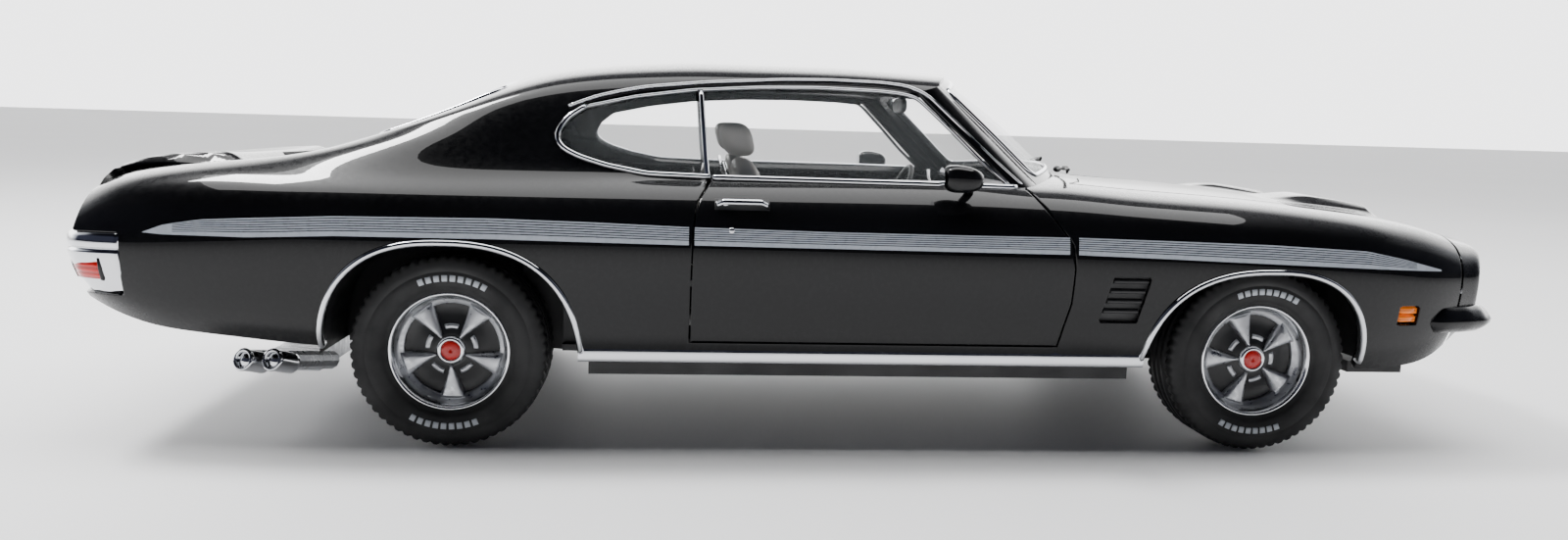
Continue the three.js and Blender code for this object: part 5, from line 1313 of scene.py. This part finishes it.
# Inside of the wheel openings.
for name, side in SIDES:
    for end, spec, grow, y0, kind in (("rear", REAR_ARCH, 0.9, 30.5, "cabin"), ("front", FRONT_ARCH, 4.6,
        26.4, "front")):
        o = arch(*spec, grow=grow, count=50)
        o = o[o[:, 1] > 16.8]
        depth = np.linspace(y0, 48.6 if end == "rear" else 46.5, 8)
        top_y = np.interp(o[:, 1], [16, 36, 42], [0.6, 0.6, -2.0])
        rows = [np.stack([o[:, 0], np.minimum(y, 48.6 + top_y), o[:, 1]], 1) for y in depth]
        rows = [np.column_stack([np.linspace(o[0, 0], o[-1, 0], len(o)), np.full(len(o), y0),
            np.full(len(o), 16.8)])] + rows
        fitting(f"{name}_{end}_wheel_house", [(np.concatenate(rows), grid_faces(len(rows), len(o)))],
            PLASTIC, "car_body",
                "black_plastic", (), side)


# ------------------------------------------------------------ wheels
def tyre_profile():
    tread = [(18.0, 5.35), (18.2, 4.9)]
    for c in (3.3, 1.1, -1.1, -3.3):
        tread += [(18.28, c + 0.45), (17.75, c + 0.3), (17.75, c - 0.3), (18.28, c - 0.45)]
    tread += [(18.2, -4.9), (18.0, -5.35)]
    outer = [(11.1, 4.3), (11.3, 4.95), (11.6, 5.15), (12.0, 5.25), (12.15, 5.5), (12.9, 5.85), (14.0,
        6.1), (15.2, 6.15),
             (15.3, 6.05), (15.45, 6.15), (16.4, 5.98), (17.2, 5.75), (17.7, 5.55)]
    inner = [(17.2, -5.8), (15.2, -6.2), (13, -5.9), (11.6, -5.2), (11.1, -4.3)]
    return outer + tread + inner


RIM = [(11.2, -4.6), (11.3, 4.2), (11.35, 4.85), (11.1, 5.2), (10.8, 5.1), (10.55, 4.4), (10.3, 3.9)]
DISH = [(10.32, 3.95), (10.1, 3.2), (9.6, 2.7), (9.0, 2.6), (8.85, 2.3), (8.8, 1.3)]
DARK = [(8.9, 1.6), (8.0, 1.35), (6.4, 1.7), (4.4, 2.5), (3.3, 3.0), (3.0, 3.1), (0.05, 3.1), (0.05, 0.2),
    (8.9, 0.2)]


def spoke(angle):
    verts = []
    rs = np.linspace(2.9, 9.3, 14)
    for r in rs:
        w = 0.28 + 2.35 * ((r - 2.9) / 6.4) ** 1.15
        base = np.interp(r, [2.9, 4.4, 6.4, 8.0, 9.3], [3.0, 2.4, 1.7, 1.4, 2.4])
        top = np.interp(r, [2.9, 4.5, 7, 9.3], [3.55, 3.45, 3.2, 3.0])
        for q, h in ((-1.0, base), (-0.82, top - 0.12), (-0.45, top + 0.1), (0, top + 0.18), (0.45,
            top + 0.1), (0.82, top - 0.12), (1.0, base)):
            t = q * w
            verts.append((r * math.sin(angle) + t * math.cos(angle), h,
                -(r * math.cos(angle)) + t * math.sin(angle)))
    n = len(rs)
    f = grid_faces(n, 7) + [tuple(range(7)), tuple((n - 1) * 7 + k for k in range(6, -1, -1))]
    return np.array(verts), f


def arc_bar(r0, r1, a0, a1, out, count=8):
    verts = []
    for a in np.linspace(a0, a1, count):
        for r, h in ((r0, out - 0.25), (r0 + 0.1, out), (r1 - 0.1, out - 0.04), (r1, out - 0.29)):
            verts.append((r * math.sin(a), h, -r * math.cos(a)))
    f = grid_faces(count, 4) + [(0, 1, 2, 3), tuple((count - 1) * 4 + k for k in (3, 2, 1, 0))]
    return np.array(verts), f


for end, axle_x, bodies, turn in (("rear", -71.75, ("rear_wheels", "rear_wheels"), 0.0),
                                  ("front", 86.25, ("right_front_wheel", "left_front_wheel"), math.pi / 2)):
    for (name, side), body_name in zip(SIDES, bodies):
        hub = np.array([axle_x, side * 43.1, 18.3])

        def placed(v, turned=0.0):
            c, s = math.cos(turned), math.sin(turned)
            v = np.asarray(v, float)
            x, z = v[:, 0] * c + v[:, 2] * s, -v[:, 0] * s + v[:, 2] * c
            return np.stack([x, v[:, 1] * side, z], 1) + hub

        stem = f"{name}_{end}"
        prof = tyre_profile()
        v, f = lathe(prof, 180)
        r = np.hypot(v[:, 0], v[:, 2])
        k = np.repeat(np.arange(180), len(prof))
        shoulder = (np.abs(np.tile([q[1] for q in prof], 180)) > 3.4) & (r > 17.6)
        scale = np.where(shoulder & (k % 3 == 0), (r - 0.42) / r, 1.0)
        v[:, 0] *= scale
        v[:, 2] *= scale
        fitting(f"{stem}_tyre_rubber", [(placed(v), f)], RUBBER, body_name, "tyre_rubber", (f"{stem}_tyre",))
        bars = []
        for start, count in ((math.radians(150), 9), (math.radians(-30), 9)):
            for i in range(count):
                a0 = start + i * 0.105
                bars.append((placed(arc_bar(13.5, 14.75, a0, a0 + 0.07, 6.3)[0]), arc_bar(13.5, 14.75, 0,
                    1, 6.3)[1]))
        fitting(f"{stem}_tyre_bars", bars, WHITE, body_name, "tyre_rubber")
        v, f = lathe(RIM + [(10.3, 3.2), (10.9, 3.0), (10.9, -4.6)], 120)
        fitting(f"{stem}_trim_ring", [(placed(v), f)], BRIGHT, body_name, "chrome_trim", (f"{stem}_rim",))
        v, f = lathe(DISH + [(10.2, 1.2)], 120)
        spokes = [(placed(spoke(a)[0], turn), spoke(a)[1]) for a in np.arange(5) * 2 * math.pi / 5]
        fitting(f"{stem}_dish", [(placed(v), f)], SILVER, body_name, "wheel_silver")
        fitting(f"{stem}_spokes", spokes, SILVER, body_name, "wheel_silver")
        v, f = lathe(DARK, 80)
        fitting(f"{stem}_centre", [(placed(v), f)], SATIN, body_name, "black_plastic")
        slots = []
        for a in (np.arange(5) + 0.5) * 2 * math.pi / 5:
            slots.append((placed(arc_bar(4.0, 5.0, a - 0.28, a + 0.28, 2.75)[0], turn), arc_bar(0, 1, 0,
                1, 1)[1]))
        fitting(f"{stem}_centre_ribs", slots, SILVER, body_name, "wheel_silver")
        cap = [(2.75, 2.9), (2.7, 3.5), (2.45, 3.85), (2.2, 4.0), (1.95, 3.95), (1.8, 3.75), (1.8, 3.3)]
        v, f = lathe(cap, 48)
        fitting(f"{stem}_cap_ring", [(placed(v), f)], BRIGHT, body_name, "chrome_trim")
        v, f = lathe([(1.82, 3.6), (1.75, 3.8), (1.3, 3.93), (0.7, 3.99), (0.04, 4.0), (0.04, 3.4), (1.8,
            3.4)], 40)
        fitting(f"{stem}_cap_disc", [(placed(v), f)], CAP_RED, body_name, "red_lens")


# ------------------------------------------------------------ cabin
def cushion(lo, hi, power, pleats, axis, depth=0.45, rows=34, cols=56, lean=0.0, crown=0.0):
    """A stuffed pad between two corners: pleats run along it on its soft face (axis 2: its top, 0: its front)."""
    lo, hi = np.array(lo, float), np.array(hi, float)
    c, h = (lo + hi) / 2, (hi - lo) / 2

    def shape(p):
        p = p.copy()
        y = p[:, 1]
        wave = np.cos(y * math.pi * pleats) * (np.abs(y) < 0.72)
        face = np.clip(p[:, axis], 0, 1) ** 3
        p[:, axis] += face * (wave * depth / h[axis] * 0.5 + crown * (1 - y**2))
        p[:, 0] -= lean / h[0] * p[:, 2]
        return p
    return blob(c, h, power, rows, cols, shape)


def soft(name, made, body, replaces=(), fill=0.75):
    v, f = made
    obj = piece(name, v, f, VINYL, body, "seat_vinyl", replaces=replaces)
    import_fix(obj)
    return obj


for name, side in SIDES:
    ys = sorted((side * 10.2, side * 32.4))
    soft(f"{name}_cushion_pad", cushion((-2.8, ys[0], 21), (17, ys[1], 30.4), 4.5, 4.5, 2, crown=-0.06),
        "car_body", (f"{name}_seat_cushion",))
    leaf = f"{name}_seat_back_leaf"
    soft(f"{name}_back_pad", cushion((-15.6, ys[0], 28.0), (-9.2, ys[1], 55.2), 3.6, 4.5, 0, lean=4.2),
        leaf, (f"{name}_seat_back",))
    hy = sorted((side * 14.6, side * 27.8))
    soft(f"{name}_head_pad", cushion((-21.0, hy[0], 55.6), (-14.2, hy[1], 62.6), 3.0, 0.4, 0, depth=0.1,
        lean=0.9), leaf)
    edge = []
    for z in np.linspace(30, 52.5, 14):
        edge.append((-16.4 - (z - 40.8) * 0.3 + 0.2, ys[0] + 0.1 if side > 0 else ys[1] - 0.1, z))
    far = [(x, ys[1] - 0.1 if side > 0 else ys[0] + 0.1, z) for x, _, z in edge]
    loop = edge + [(edge[-1][0] - 0.4, (ys[0] + ys[1]) / 2, 54.2)] + far[::-1]
    fitting(f"{name}_seat_piping", [tube(loop, 0.35, 8, 0.8, 3)], CHROME, leaf, "chrome_trim")
soft("bench_seat_pad", cushion((-52, -31.5, 21), (-33.2, 31.5, 31.5), 4.5, 8.5, 2, rows=30, cols=80),
    "car_body", ("rear_bench",))
soft("bench_back_pad", cushion((-58, -32.5, 28), (-50.4, 32.5, 48.6), 4.0, 8.5, 0, rows=30, cols=80,
    lean=2.0), "car_body")

dash = blob((41.2, 0, 46.2), (4.6, 37.6, 3.5), 4.2, 26, 90)
shelf = blob((43.6, 0, 49.6), (5.0, 36.8, 1.0), 3.4, 16, 80)
fitting("dash_roll", [dash, shelf], PLASTIC, "car_body", "black_plastic", ("dashboard",))
dials, faces = [], []
for y, z, r in ((27.5, 46.6, 2.0), (22.4, 46.9, 2.4), (16.4, 46.9, 2.4), (11.4, 46.6, 2.0)):
    a = np.linspace(0, 2 * math.pi, 36, endpoint=False)
    ring = np.array([[36.9, y + r * math.cos(b), z + r * math.sin(b)] for b in a])
    dials.append(tube(ring, 0.28, 8, 0.5, 0, closed=True))
    v = np.vstack([ring, [[36.6, y, z]]])
    faces.append((v, [(36, (k + 1) % 36, k) for k in range(36)]))
fitting("dial_rims", dials, CHROME, "car_body", "chrome_trim")
fitting("dial_faces", faces, SATIN, "car_body", "black_plastic")

tilt = 0.42
center = np.array((25.0, 21.0, 45.5))
ax = np.array((math.cos(tilt), 0, -math.sin(tilt)))
upv = np.array((math.sin(tilt), 0, math.cos(tilt)))
sidev = np.array((0.0, 1.0, 0.0))
a = np.linspace(0, 2 * math.pi, 72, endpoint=False)
wheel_ring = np.array([center + 8.0 * (math.cos(b) * sidev + math.sin(b) * upv) for b in a])
grip = tube(wheel_ring, 0.62, 12, 0.7, 0, closed=True)
fitting("driver_wheel_grip", [grip, tube([center + ax * 1.2, center + ax * 7.0], 1.0, 16)], PLASTIC,
    "driver_wheel", "black_plastic", ("steering_wheel",))
arms = []
for b in (math.radians(-90), math.radians(0), math.radians(180)):
    d = math.cos(b) * sidev + math.sin(b) * upv
    arms.append(tube([center + ax * 1.1 + d * 0.8, center + ax * 0.7 + d * 4, center + d * 7.8], 0.75, 10,
        flat=0.35))
hubv = [center + ax * 0.2, center + ax * 1.6]
arms.append(tube(hubv, 1.9, 24, 0.3))
fitting("driver_wheel_arms", arms, BRIGHT, "driver_wheel", "chrome_trim")
mirror_in = blob((21.0, 0, 67.6), (0.9, 6.2, 1.75), 3.2, 16, 40)
stalk = tube([(21.4, 0, 68.6), (22.6, 0, 70.6), (23.4, 0, 72.2)], 0.4, 10)
fitting("cabin_mirror", [mirror_in, stalk], SATIN, "car_body", "black_plastic", ("inside_mirror",))

# Twin tail pipe ends with bright rolled lips, and in each mouth a black cone that is painted shade for the hollow
# of the pipe.
lips, mouths = [], []
for side in (-1, 1):
    for x in (-111.9, -106.5):
        start, end = np.array([x + 1.6, side * 35.9, 13.1]), np.array([x - 0.15, side * 40.6, 14.75])
        lips.append(tube([start, end], 2.12, 24, 0.6, 0))
        along = (end - start) / np.linalg.norm(end - start)
        q = np.cross(along, (0, 0, 1.0))
        q /= np.linalg.norm(q)
        w = np.cross(q, along)
        a = np.linspace(0, 2 * math.pi, 36, endpoint=False)
        ring = np.array([end + 1.85 * (math.cos(b) * q + math.sin(b) * w) for b in a])
        lips.append(tube(ring, 0.42, 10, 0.4, 0, closed=True))
        # Painted shade: a dark cone closes each pipe end and stands in for the shaded inside of the pipe.
        mouths.append((np.vstack([ring * 1.0 + along * 0.1, [end - along * 0.6]]),
            [(36, k, (k + 1) % 36) for k in range(36)]))
fitting("tail_pipe_lips", lips, CHROME, "car_body", "chrome_trim")
fitting("tail_pipe_mouths", mouths, PLASTIC, "car_body", "black_plastic")


# ------------------------------------------------------------ floor pan, whose tail end rises to the rear bumper
pan = NODES["chassis_plate"].data
pan_v = np.array([tuple(v.co) for v in pan.vertices]) * 1000
pan_v[pan_v[:, 0] < -125, 2] += 6.5
piece("floor_pan", pan_v, [tuple(f.vertices) for f in pan.polygons], PLASTIC, "car_body", "black_plastic",
      replaces=("chassis_plate",))

# ------------------------------------------------------------ what stays as the exact solids
KEPT = {"exhaust_system": STEEL, "engine_block": BLOCK, "rear_axle": STEEL, "tie_rod": STEEL,
    "chassis_plate": PLASTIC,
        "cabin_tub": CARD, "grille": PLASTIC, "right_knuckle": STEEL, "left_knuckle": STEEL}
for node, obj in NODES.items():
    if obj.hide_render:
        continue
    mat = KEPT.get(node, PLASTIC)
    obj.data.materials.clear()
    obj.data.materials.append(mat)

# ------------------------------------------------------------ floor, light and camera
bpy.ops.mesh.primitive_plane_add(size=30, location=(0, 0, -0.0002))
floor = bpy.context.object
floor.name = "floor"
floor_mat, tree, bsdf = shader("pale_floor", (0.86, 0.86, 0.865), 0.6)
tint(tree, bsdf, noise(tree, 3, 3), (0.92, 0.92, 0.925), (0.94, 0.94, 0.945))
floor.data.materials.append(floor_mat)

world = bpy.data.worlds.new("studio")
bpy.context.scene.world = world
world.use_nodes = True
tree = world.node_tree
backdrop = tree.nodes["Background"]
backdrop.inputs["Strength"].default_value = 5.0
coords = tree.nodes.new("ShaderNodeTexCoord")
split = tree.nodes.new("ShaderNodeSeparateXYZ")
tree.links.new(coords.outputs["Generated"], split.inputs["Vector"])


def world_ramp(value, stops):
    ramp = tree.nodes.new("ShaderNodeValToRGB")
    elements = ramp.color_ramp.elements
    elements[0].position, elements[1].position = stops[0][0], stops[-1][0]
    elements[0].color, elements[1].color = (*stops[0][1], 1), (*stops[-1][1], 1)
    for at, color in stops[1:-1]:
        elements.new(at).color = (*color, 1)
    tree.links.new(value, ramp.inputs["Fac"])
    return ramp.outputs["Color"]


# The room: a white sweep behind the model, under a dark ceiling, and a dim side where the viewer stands.
fore = spread(tree, split.outputs["Y"], 0, 1, -1, 1)
depth = world_ramp(fore, [(0.0, (0.006, 0.0065, 0.010)), (0.44, (0.011, 0.012, 0.018)),
    (0.56, (0.35, 0.36, 0.38)), (0.66, (1.0, 1.0, 1.0))])
rise = world_ramp(spread(tree, split.outputs["Z"], 0, 1, -1, 1), [(0.5, (0.33, 0.33, 0.33)),
    (0.515, (0.4, 0.4, 0.4)), (0.57, (1, 1, 1)), (0.72, (1, 1, 1)), (0.84, (0.05, 0.05, 0.055))])
lighten = tree.nodes.new("ShaderNodeMix")
lighten.data_type = "RGBA"
lighten.blend_type = "MULTIPLY"
lighten.inputs["Factor"].default_value = 1.0
tree.links.new(depth, lighten.inputs["A"])
tree.links.new(rise, lighten.inputs["B"])
paths = tree.nodes.new("ShaderNodeLightPath")
seen = tree.nodes.new("ShaderNodeMix")
seen.data_type = "RGBA"
seen.inputs["B"].default_value = (0.7, 0.7, 0.71, 1)
tree.links.new(paths.outputs["Is Camera Ray"], seen.inputs["Factor"])
tree.links.new(lighten.outputs["Result"], seen.inputs["A"])
tree.links.new(seen.outputs["Result"], backdrop.inputs["Color"])


def area_light(name, place, target, size_x, size_y, power, color=(1, 1, 1)):
    lamp = bpy.data.lights.new(name, "AREA")
    lamp.shape = "RECTANGLE"
    lamp.size, lamp.size_y = size_x, size_y
    lamp.energy = power
    lamp.color = color
    obj = bpy.data.objects.new(name, lamp)
    bpy.context.scene.collection.objects.link(obj)
    obj.location = place
    obj.rotation_euler = (Vector(target) - Vector(place)).to_track_quat("-Z", "Y").to_euler()
    return obj


area_light("overhead", (0.0, 0.05, 0.8), (0, 0, 0.03), 1.1, 0.5, 9)


def glint_light(name, x, z, far, size, power):
    """A soft lamp placed where the body side at (x, z) mirrors it to the viewer."""
    q = t_at_height("cabin", [x], [z])
    p, n = with_normals(AT["cabin"], np.array([float(x)]), q, TOP["cabin"])
    p, n = p[0] * (1, -1, 1), n[0] * (1, -1, 1)
    v = np.array([-27.2, -256.7, 62.4]) - p
    v /= np.linalg.norm(v)
    r = 2 * n.dot(v) * n - v
    spot = (p + r * far) * MM
    area_light(name, tuple(spot), tuple(p * MM), size, size * 0.8, power)


glint_light("window_glow", -76, 60.5, 700, 0.16, 5)

camera = bpy.data.cameras.new("camera")
camera.sensor_width = 36
camera.lens = 25.40
camera.clip_start = 0.01
view = bpy.data.objects.new("camera", camera)
bpy.context.scene.collection.objects.link(view)
right, up, back = Vector((0.9962, -0.0828, 0.0289)), Vector((-0.0178, 0.1322, 0.9912)), Vector((-0.0859,
    -0.9878, 0.1302))
place = Vector((-0.027195, -0.256716, 0.062442))
view.matrix_world = Matrix(((right.x, up.x, back.x, place.x), (right.y, up.y, back.y, place.y),
                            (right.z, up.z, back.z, place.z), (0, 0, 0, 1)))
bpy.context.scene.camera = view
